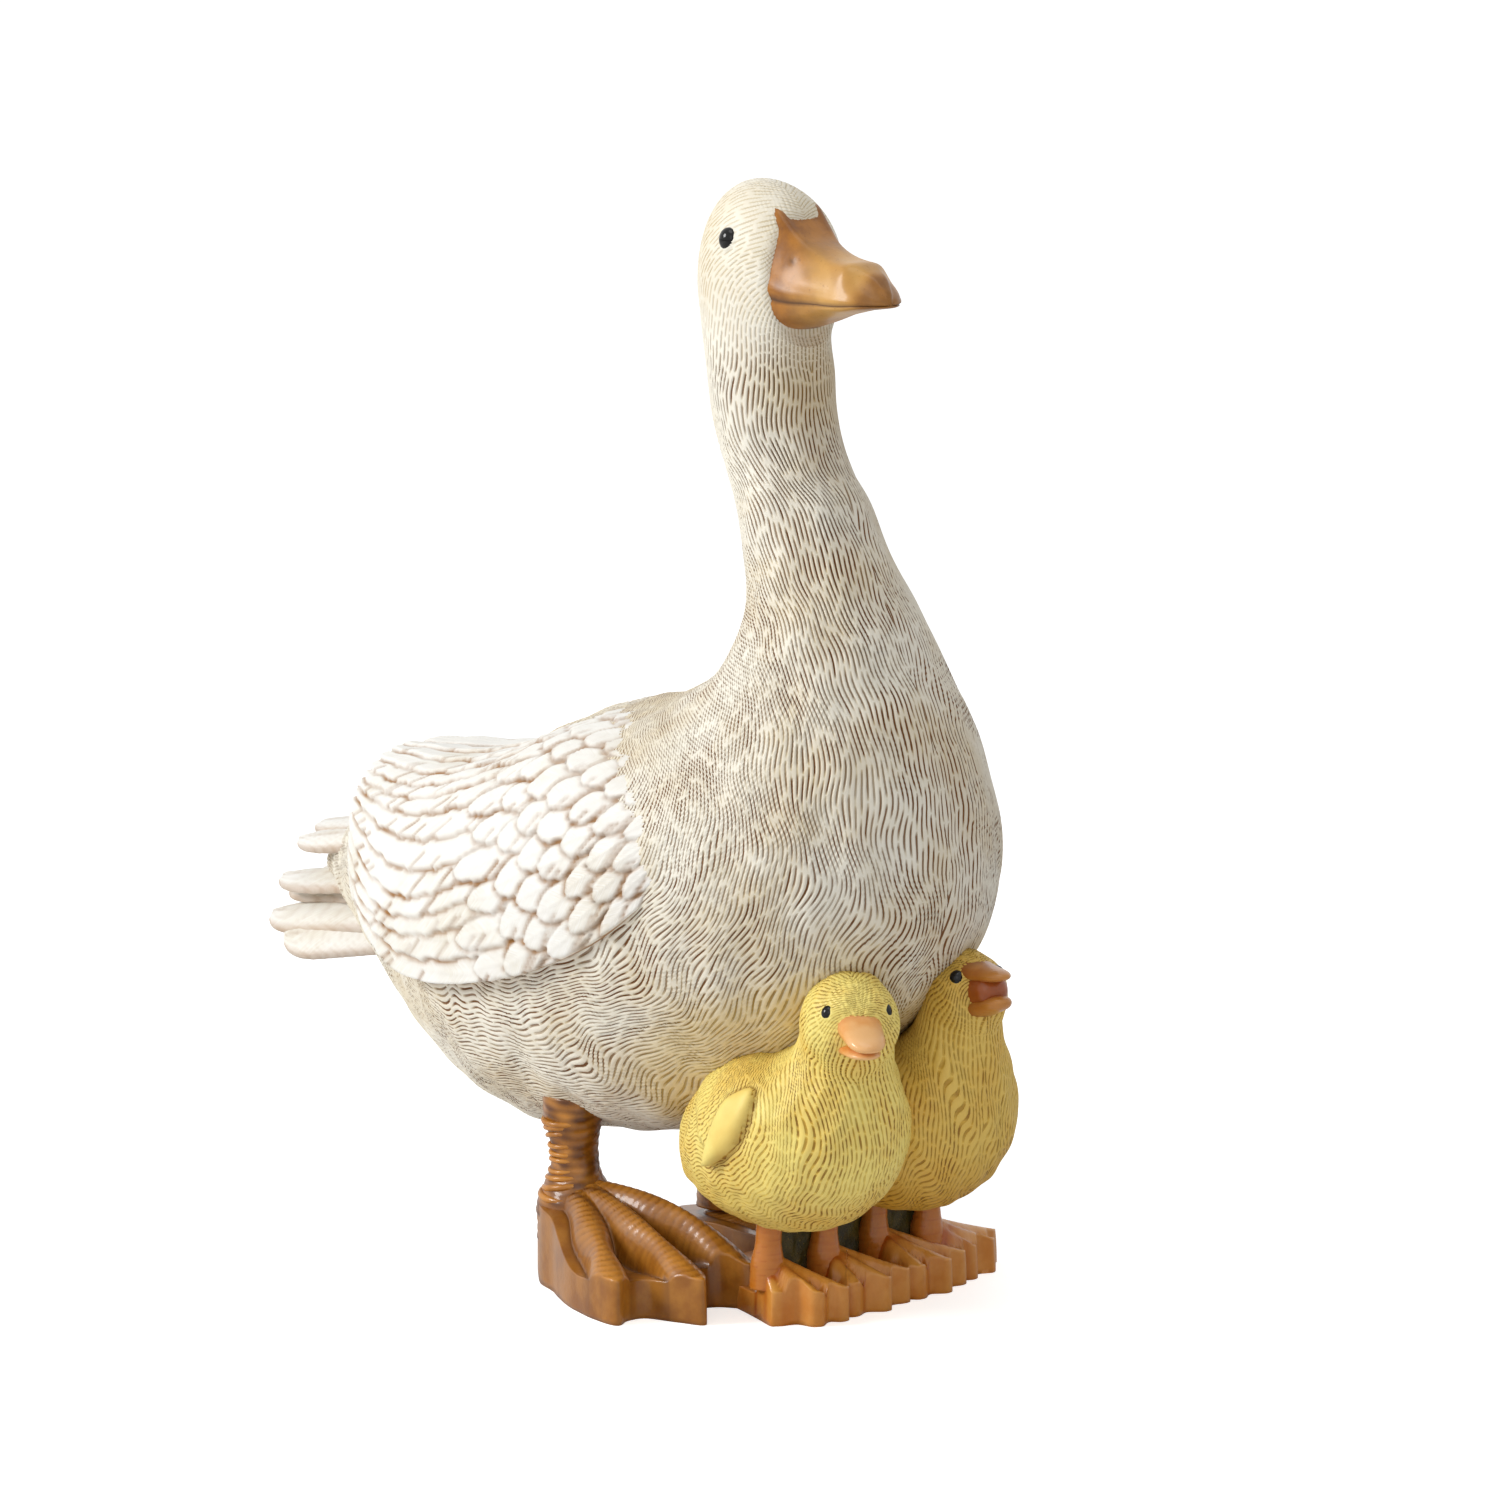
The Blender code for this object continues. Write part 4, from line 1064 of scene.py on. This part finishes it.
def ring_tree():
    """Scales that wrap round a path: rings set along it, turned a little at random and sized to it."""
    tree = bpy.data.node_groups.new("rings along a path", "GeometryNodeTree")
    sockets = {}
    for label, kind in (("Path", "Geometry"), ("Spacing", "Float"), ("Thickness", "Float"),
                        ("Tilt", "Float"), ("Seed", "Int"), ("Material", "Material")):
        sockets[label] = tree.interface.new_socket(label, in_out="INPUT", socket_type="NodeSocket" + kind)
    tree.interface.new_socket("Rings", in_out="OUTPUT", socket_type="NodeSocketGeometry")
    given = tree.nodes.new("NodeGroupInput").outputs

    def add(kind, settings=None, values=None):
        """A node's outputs, once its settings and its inputs are given."""
        node = tree.nodes.new(kind)
        for label, setting in (settings or {}).items():
            setattr(node, label, setting)
        for label, value in (values or {}).items():
            if isinstance(value, bpy.types.NodeSocket):
                tree.links.new(value, node.inputs[label])
            else:
                node.inputs[label].default_value = value
        return node.outputs

    stops = add("GeometryNodeCurveToPoints", {"mode": "LENGTH"},
                {"Curve": given["Path"], "Length": given["Spacing"]})
    line = add("GeometryNodeCurvePrimitiveCircle", None, {"Resolution": 36, "Radius": 1.0})
    section = add("GeometryNodeCurvePrimitiveCircle", None, {"Resolution": 8, "Radius": given["Thickness"]})
    ring = add("GeometryNodeCurveToMesh", None, {"Curve": line["Curve"], "Profile Curve": section["Curve"]})
    back = add("ShaderNodeMath", {"operation": "MULTIPLY"}, {0: given["Tilt"], 1: -1.0})
    lean = add("FunctionNodeRandomValue", {"data_type": "FLOAT_VECTOR"},
               {"Seed": given["Seed"], "Min": back[0], "Max": given["Tilt"]})
    turn = add("FunctionNodeRotateRotation", None,
               {"Rotation": stops["Rotation"], "Rotate By": lean["Value"]})
    placed = add("GeometryNodeInstanceOnPoints", None, {
        "Points": stops["Points"], "Instance": ring["Mesh"], "Rotation": turn["Rotation"],
        "Scale": add("GeometryNodeInputRadius")["Radius"]})
    real = add("GeometryNodeRealizeInstances", None, {"Geometry": placed["Instances"]})
    dressed = add("GeometryNodeSetMaterial", None,
                  {"Geometry": real["Geometry"], "Material": given["Material"]})
    add("NodeGroupOutput", None, {"Rings": dressed["Geometry"]})
    return tree, sockets


RINGS, RING_SOCKETS = ring_tree()
SCALE_SPACING = 2.9
# Thickness as a share of the ring's radius, and the most that a ring leans, in radians
SCALE_THICKNESS = 0.125
SCALE_TILT = 0.13


def scaly_rings(name, path, radii, seed, material):
    """A plain mesh of rings along a path given in millimetres of the drawing."""
    curve = bpy.data.curves.new(name + " path", "CURVE")
    curve.dimensions = "3D"
    spline = curve.splines.new("POLY")
    spline.points.add(len(path) - 1)
    for point, place, radius in zip(spline.points, path, radii):
        point.co = (*(np.asarray(place) + DRAWING_PLACE) * MM, 1.0)
        point.radius = radius * MM
    line = linked(bpy.data.objects.new(name + " path", curve))
    rings = line.modifiers.new("rings", "NODES")
    rings.node_group = RINGS
    for label, value in (("Spacing", SCALE_SPACING * MM), ("Thickness", SCALE_THICKNESS),
                         ("Tilt", SCALE_TILT), ("Seed", seed), ("Material", material)):
        rings[RING_SOCKETS[label].identifier] = value
    seen = line.evaluated_get(bpy.context.evaluated_depsgraph_get())
    mesh = bpy.data.meshes.new_from_object(seen)
    line.modifiers.remove(rings)
    bpy.data.objects.remove(line)
    mesh.shade_smooth()
    return linked(bpy.data.objects.new(name, mesh))


def leg_scales(side, flare):
    """The scales stand out on the leg's outer face, so their path runs a little off its middle."""
    heights = np.linspace(61, 33, 12)
    path = [(ANKLE_X - 3.0 + 3.5 * (LEG_TOP - z) / 55, side * (LEG_SPREAD / 2 + 0.9), z) for z in heights]
    radii = LEG_RADIUS - 1.6 + 2.4 * soft_step(48, 66, heights) + flare * 0.9 * soft_step(46, 26, heights)
    finish_piece(scaly_rings(sided(side, "leg_scales"), path, radii, 7 + side, FOOT_PAINT))


# The left foot, half hidden by the ducklings, is the lower one
for side, instep, flare in ((-1, 39.0, 6.5), (1, 15.0, 1.0)):
    duck_foot(side, instep)
    duck_leg(side, flare)
    leg_scales(side, flare)

# The ducklings
# Two young birds pressed against the breast, modelled with it and combed with a finer tool, painted
# yellow with an ochre wash in the strokes. The one on the duck's left lifts its head and calls.

DUCKLING_SECTIONS = [
    (57, 116, 57, 104, 6), (53, 122, 54, 98.5, 12), (46, 127, 52.5, 95.5, 15.6),
    (38.5, 128.5, 51.5, 94, 17.2), (30.5, 126, 51, 93, 17.6), (24.5, 120, 50.5, 92, 17.4),
    (20, 111.5, 49.5, 91, 17.2), (15, 102, 49, 87, 19), (5, 96.5, 50.5, 78, 24),
    (-4, 96, 51, 66, 30), (-13, 95, 48, 53, 34), (-21, 92, 38, 40, 36),
    (-28, 87, 24, 31, 36), (-34, 80, 9, 27.5, 35), (-39, 72, -8, 28, 31.5), (-42.5, 64, -23, 34, 25.5),
    (-44, 58, -34, 44, 17), (-44.5, 54, -41, 50, 7)]
DUCKLING_ROW = 1.3
DUCKLING_COLUMNS = 230
DUCKLING_PIVOT = 34.0
DUCKLING_HEAD = np.array([39.5, 0.0, 117.5])
DUCKLING_EYE_TURN = 42.0
DUCKLING_RAISED = 7.0
YOUNG_EYE_RIM = 4.0
# The small wing: root and tip in the side view, half width, and how far its tip stands off the flank
LEAF_ROOT = (19.0, 84.0)
LEAF_TIP = (1.0, 55.0)
LEAF_HALF = 8.0
LEAF_HEIGHT = 5.0
DOWN_STROKE_GAP = 1.9
DOWN_STROKE_LENGTH = 4.6


def down_paint():
    """Yellow paint, lemon on the ridges, with ochre left in the strokes, darker low on the body, and painted
    shade beside the small wings.
    """
    paint = Paint("yellow down")
    # This layer is painted shadow and shade by the small wings and a darkening low on the body
    wash = paint.layer("wash_and_shade")
    golden = paint.layer("rub")
    patches = paint.noise(45.0, 4.0)
    grain = paint.noise(900.0, 3.0)
    cut = paint.strokes(DOWN_STROKE_GAP)
    ground = paint.mix(paint.between(patches, 0.35, 0.7), painted("F9E070"), painted("E9B930"))
    ground = paint.mix(paint.between(cut, 0.2, 0.0) * 0.4, ground, painted("FCEE9C"))
    ground = paint.mix(golden, ground, painted("CC941C"))
    wash_with_shade = (wash * 0.8 + cut * (0.35 + paint.between(patches, 0.3, 0.6) * 0.65)).held()
    colour = paint.mix(wash_with_shade, ground, painted("8F6208"))
    normal = paint.bumps((1.0 - cut, 0.0004, 0.8), (grain, 0.0001, 0.5))
    return paint.finish(Base_Color=colour, Roughness=0.5 + wash * 0.2, Normal=normal)


DOWN_PAINT = down_paint()


def look_of(points, share, facing, lift):
    """Points of a duckling's head turned to the side and lifted, by a share of the whole turn."""
    swing = turned(points, facing * share, DUCKLING_PIVOT)
    away = swing - DUCKLING_HEAD
    heading = np.radians(facing)
    ahead = away[..., 0] * np.cos(heading) + away[..., 1] * np.sin(heading)
    across = -away[..., 0] * np.sin(heading) + away[..., 1] * np.cos(heading)
    tilt = np.radians(lift * share)
    forward = ahead * np.cos(tilt) - away[..., 2] * np.sin(tilt)
    rise = ahead * np.sin(tilt) + away[..., 2] * np.cos(tilt)
    result = np.stack([forward * np.cos(heading) - across * np.sin(heading),
                       forward * np.sin(heading) + across * np.cos(heading), rise], -1)
    return result + DUCKLING_HEAD


def stood(points, place, heading):
    return turned(points, heading, 0.0) + (place[0], place[1], 0)


def duckling(name, place, heading, facing, lift, rise, head_size, jaws, golden, seed):
    """One duckling: where it stands, the turns of body and head, the lift, size and bill of its head."""

    def with_head(points):
        """Points given from the middle of the head, where the head's turn and lift take them."""
        return stood(look_of(points + DUCKLING_HEAD, 1.0, facing, lift) + (0, 0, rise), place, heading)

    places = even_places(np.array(DUCKLING_SECTIONS, float), DUCKLING_ROW)
    plain = skin_points(DUCKLING_SECTIONS, places, around(DUCKLING_COLUMNS)[0]) + (0, 0, DUCKLING_RAISED)
    base_normal = outward(plain)
    # The small wing, a leaf that lies back along the flank
    root = np.array(LEAF_ROOT) + (0, DUCKLING_RAISED)
    tip = np.array(LEAF_TIP) + (0, DUCKLING_RAISED)
    way = unit(tip - root)
    offset = plain[..., [0, 2]] - root
    u = offset @ way / np.linalg.norm(tip - root)
    v = offset @ np.array([-way[1], way[0]])
    half = LEAF_HALF * np.sin(math.pi * np.clip(u, 0, 1) ** 0.8) ** 0.7
    leaf = np.sqrt(np.clip(1 - (v / np.maximum(half, 0.01)) ** 2, 0, 1)) * (u > 0) * (u < 1)
    beside = soft_step(0.35, 0.5, np.abs(base_normal[..., 1]))
    leaf = leaf * beside
    # A dark band on the flank round the raised leaf: painted shadow at its edge
    shadow_round_leaf = np.exp(-(np.maximum(np.abs(v) - half, 0) / 1.6) ** 2)
    shadow_round_leaf = shadow_round_leaf * (leaf <= 0) * (u > -0.02) * (u < 1.08) * beside
    plain = plain + base_normal * (LEAF_HEIGHT * leaf * (0.35 + 0.65 * np.clip(u, 0, 1)))[..., None]
    share = (1 - soft_step(5.5, 9.5, places))[:, None]
    plain = DUCKLING_HEAD + (plain - DUCKLING_HEAD) * (1 - share * (1 - head_size))[..., None]
    plain = look_of(plain, share, facing, lift) + rise * share[..., None] * (0, 0, 1.0)
    plain = stood(plain, place, heading)
    normal = outward(plain)
    flow = stroke_flow(plain, 1.3 * waves(plain, (15, 22, 11), seed + 1))
    pressed, cut = combed(flow, DOWN_STROKE_GAP, DOWN_STROKE_LENGTH, seed)
    turn = math.radians(DUCKLING_EYE_TURN)
    eyes = [with_head(head_size * np.array([16.2 * math.cos(turn), side * 16.0 * math.sin(turn), 5.2]))
            for side in (-1, 1)]
    rim = np.maximum(*[near(plain, eye, YOUNG_EYE_RIM) for eye in eyes])
    bare = (1 - soft_step(0, 0.4, rim)) * (1 - soft_step(0.0, 0.4, leaf))
    height = -0.6 * cut * bare + 0.4 * soft_step(0.05, 0.4, rim) - 0.8 * soft_step(0.45, 0.8, rim)
    height = height + 0.35 * waves(plain, (13, 18, 9), seed + 2)
    # Darker and more golden low on the body, towards the ground
    under = soft_step(70, 35, plain[..., 2])
    # The leaf's front side, turned from the light, gets painted shade
    shaded = soft_step(0.15, 0.9, v / np.maximum(half, 1.0)) * (leaf > 0)
    # Painted shadow round the leaf, painted shade on its front side and the low darkening go into one layer
    leaf_shade_and_low_darkening = np.clip(shadow_round_leaf * 0.9 + 0.55 * shaded + 0.15 * under, 0, 1)
    loft_piece(name + "_down", plain + normal * height[..., None], DOWN_PAINT,
               {"wash": pressed * bare, "wash_and_shade": leaf_shade_and_low_darkening, "rub": golden + 0.35 * under}, flow)
    for number, eye in enumerate(eyes):
        sunk = eye - unit(eye - with_head(np.zeros(3))) * 0.9
        loft_piece(f"{name}_eye_{number + 1}", ball(sunk, (2.9, 2.9, 3.4), 22, 26), EYE_PAINT)
    for label, reach, wide_root, wide_tip, top, low, material in jaws:
        share = np.linspace(0, 1, JAW_ROWS)[:, None]
        angle = around(JAW_COLUMNS)
        end = np.clip((share - 0.6) / 0.4, 0, 1)
        wide = (wide_root + (wide_tip - wide_root) * share) * np.sqrt(np.maximum(1 - end ** 2.4, 0.0005))
        above = top[0] + (top[1] - top[0]) * share ** 0.8
        below = low[0] + (low[1] - low[0]) * share
        closing = np.clip((share - 0.75) / 0.25, 0, 1)
        tall = (above - below) / 2 * np.sqrt(np.maximum(1 - closing ** 2, 0.001))
        across = np.sign(np.sin(angle)) * np.abs(np.sin(angle)) ** 0.8
        points = np.stack([JAW_ROOT * head_size + share * reach + 0 * angle, wide * across,
                           (above + below) / 2 + tall * np.cos(angle)], -1)
        dark = 0.1 + 0.45 * soft_step(0.4, 0.15, share) + 0 * angle
        pale = 0.8 * soft_step(0.35, 0.8, share) + 0 * angle
        loft_piece(f"{name}_{label}", with_head(points), material, {"dark": dark, "pale": pale})


YOUNG_BILL_PAINT = foot_paint("young bill", "BA5C10", "E89844", "F6C283")
CALLING_BILL_PAINT = foot_paint("calling bill", "7E3C0C", "B0661E", "CE8C3E")
THROAT_PAINT = foot_paint("throat", "6B2A08", "9A4812", "A9561A")
JAW_ROOT = 11.0
JAW_ROWS = 40
JAW_COLUMNS = 48
# Each jaw: length, half width at root and tip, heights of its upper and lower faces at root and tip
CLOSED_JAWS = [
    ("upper_bill", 22.5, 8.6, 6.4, (9.5, -2.4), (-4.4, -6.4), YOUNG_BILL_PAINT),
    ("lower_bill", 18.5, 8.0, 5.2, (-4.2, -6.6), (-10.6, -9.0), YOUNG_BILL_PAINT)]
OPEN_JAWS = [
    ("upper_bill", 19.0, 8.2, 4.4, (11.0, 3.6), (2.0, 0.4), CALLING_BILL_PAINT),
    ("lower_bill", 16.5, 7.8, 4.6, (-2.5, -4.6), (-11.0, -9.0), CALLING_BILL_PAINT),
    ("throat", 12.5, 7.8, 6.4, (8.0, 3.0), (-8.5, -6.4), THROAT_PAINT)]
duckling("first_duckling", place=(28, -24), heading=-10, facing=-22, lift=0, rise=0.0, head_size=1.0,
         jaws=CLOSED_JAWS, golden=0.0, seed=51)
duckling("second_duckling", place=(32, 28), heading=-9, facing=-3, lift=16, rise=3.5, head_size=0.86,
         jaws=OPEN_JAWS, golden=0.5, seed=61)

# The ducklings' feet and the ground between them
# Orange legs and toes modelled on one low solid base that ends in scallops under the toes, with the
# gaps behind the legs filled and painted dark green as grass.

BASE_LEVEL = 11.0
BASE_BACK = -28.0
BASE_CENTRE = (2.0, 32.0)
BASE_COLUMNS = 320
BASE_WALL_ROWS = 10
BASE_TOP_ROWS = 66
TOE_END = 2.3
YOUNG_TOE_HEIGHTS = (27.0, 13.0)
YOUNG_TOE_RADIUS = 4.3
YOUNG_TOE_FOLDS = 0.12
YOUNG_LEG_TOP = 52
YOUNG_LEG_RADIUS = 4.7
DUCKLING_FEET = [
    ((24, -32), ((33, -36), (44, -26), (45, -13))), ((27, -6), ((43, -5), (45, 9), (41, 23))),
    ((21, 26), ((41, 31), (41, 45), (36, 58))), ((26, 49), ((33, 67), (30, 80), (20, 91)))]
YOUNG_FOOT_PAINT = foot_paint("young feet", "AE5204", "D28522", "EBAA50")


def young_base():
    tips = [np.array(tip, float) for _, group in DUCKLING_FEET for tip in group]
    corners = [(BASE_BACK, -20), (0, -26), (20, -33)]
    for place, tip in enumerate(tips):
        way = unit(tips[min(place + 1, len(tips) - 1)] - tips[max(place - 1, 0)])
        inwards = np.array([-way[1], way[0]])
        corners += [tuple(tip - way * TOE_END), tuple(tip - inwards * 0.6), tuple(tip + way * TOE_END)]
        if place + 1 < len(tips):
            middle = (tip + tips[place + 1]) / 2
            corners.append(tuple(middle + inwards * 2.6))
    corners += [(4, 92), (BASE_BACK, 84)]
    fine = np.linspace(0, len(corners), 3000, endpoint=False)
    closed = np.array(corners[-2:] + corners + corners[:3], float)
    outline = even_outline(through(closed, fine + 2), BASE_COLUMNS)
    toes = [((x, y), tip, *YOUNG_TOE_HEIGHTS, 0.85) for (x, y), group in DUCKLING_FEET for tip in group]

    def web(plan):
        return BASE_LEVEL - 2.5 + 1.5 * soft_step(10, 34, plan[..., 0])

    def top_of(plan):
        return toe_top(plan, toes, web, YOUNG_TOE_RADIUS, YOUNG_TOE_FOLDS)

    points, dark, pale = slab(BASE_CENTRE, outline, top_of, BASE_WALL_ROWS, BASE_TOP_ROWS)
    loft_piece("ducklings_base", points, YOUNG_FOOT_PAINT, {"dark": dark, "pale": pale})


def young_leg(number, x, y):
    z = np.linspace(YOUNG_LEG_TOP, 12, 70)[:, None]
    angle = around(48)
    step = np.mod((z + 0.6 * np.cos(angle)) / 2.6, 1)
    radius = YOUNG_LEG_RADIUS + 1.4 * soft_step(30, 20, z) + 2.5 * soft_step(36, 48, z) + 0.12 * step
    points = np.stack(np.broadcast_arrays(x + 2 - 2 * (YOUNG_LEG_TOP - z) / 30 + radius * np.cos(angle),
                                          y + radius * np.sin(angle), z + 0 * angle), -1)
    dark = 0.6 + 0.2 * soft_step(0.8, 1.0, step) + 0.2 * soft_step(32, 44, z)
    loft_piece(f"duckling_leg_{number}", points, YOUNG_FOOT_PAINT,
               {"dark": dark + 0 * angle, "pale": 0.6 * soft_step(0.2, 0.6, step)})


def grass_paint():
    paint = Paint("dark green ground")
    clouds = paint.noise(160.0, 4.0)
    specks = paint.noise(900.0, 3.0)
    colour = paint.mix(paint.between(clouds, 0.3, 0.7), painted("2E2A08"), painted("5A4E14"))
    colour = paint.mix(paint.between(specks, 0.6, 0.75), colour, painted("7C6B24"))
    return paint.finish(Base_Color=colour, Roughness=0.55, Normal=paint.bumps((specks, 0.0006, 0.8)))


young_base()
for number, ((x, y), _) in enumerate(DUCKLING_FEET):
    young_leg(number + 1, x, y)


# The fill's outline on the ground, its rows and its columns
FILL_OUTLINE = [(21, -29), (24, -6), (18, 26), (23, 49), (12, 49), (13, -21), (21, -29)]
FILL_ROWS = 40
FILL_COLUMNS = 100


def ground_fill():
    """The solid wall behind the legs, rough with short grass strokes."""
    corners = np.array(FILL_OUTLINE, float)
    line = np.linspace(0, 6, FILL_COLUMNS + 1)[:-1]
    points = np.zeros((FILL_ROWS, FILL_COLUMNS, 3))
    for axis in (0, 1):
        points[..., axis] = np.interp(line, np.arange(7), corners[:, axis])
    points[..., 2] = np.linspace(50, 6, FILL_ROWS)[:, None]
    rough = waves(points * (1, 1, 0.35), (4, 5.5, 3, 7), 71)
    points[..., 0] += 0.5 * rough
    loft_piece("ground_behind_the_legs", points, grass_paint())


ground_fill()

# Floor, light and camera
# A pale floor and soft studio light, and a camera that looks at the figure as the photographer did.

SEEN_FLOOR_GLOW = (0.65, 0.65, 0.65)
SKY_LIGHT = (0.46, 0.46, 0.46)
LAMP_AIM = (0.05, 0, 0.2)
BLACK = (0, 0, 0)
WHITE = (1, 1, 1)

floor_mesh = bpy.data.meshes.new("floor")
floor_mesh.from_pydata([(-6, -6, 0), (6, -6, 0), (6, 6, 0), (-6, 6, 0)], [], [(0, 1, 2, 3)])
floor = linked(bpy.data.objects.new("floor", floor_mesh))
floor_paint = Paint("pale floor")
seen = floor_paint.node("ShaderNodeLightPath", out=0)
floor_mesh.materials.append(floor_paint.finish(
    Base_Color=(0.86, 0.86, 0.86), Roughness=0.9, Emission_Strength=1.0,
    Emission_Color=floor_paint.mix(seen, BLACK, SEEN_FLOOR_GLOW)))


def lamp(name, place, size, power):
    light = bpy.data.lights.new(name, "AREA")
    light.shape = "DISK"
    light.size = size
    light.energy = power
    item = bpy.data.objects.new(name, light)
    item.location = place
    item.rotation_euler = (Vector(LAMP_AIM) - Vector(place)).to_track_quat("-Z", "Y").to_euler()
    linked(item)


lamp("key", (-1.05, -1.75, 1.25), 0.9, 31.0)
lamp("fill", (1.9, -1.9, 1.5), 1.6, 4.0)
lamp("top", (0.4, -0.3, 2.4), 1.4, 8.0)

world = bpy.data.worlds.new("studio")
bpy.context.scene.world = world
world.use_nodes = True
sky = Sheet(world.node_tree)
white = sky.node("ShaderNodeLightPath", out="Is Camera Ray")
for other in ("Is Glossy Ray", "Is Transmission Ray"):
    white = white.most(sky.node("ShaderNodeLightPath", out=other))
background = world.node_tree.nodes["Background"]
sky.put(background.inputs["Color"], sky.mix(white, SKY_LIGHT, WHITE))
background.inputs["Strength"].default_value = 1.0
bpy.context.scene.view_settings.view_transform = "Standard"

CAMERA_PLACE = (2.2153, -2.1335, 0.731)
CAMERA_HEADING = 45.2312
CAMERA_DROP = 9.928
LENS = 201.6
camera = bpy.data.objects.new("camera", bpy.data.cameras.new("camera"))
camera.data.lens = LENS
camera.data.sensor_width = 36.0
camera.data.clip_end = 30.0
camera.location = CAMERA_PLACE
camera.rotation_euler = (math.radians(90 - CAMERA_DROP), 0, math.radians(CAMERA_HEADING))
bpy.context.scene.camera = linked(camera)
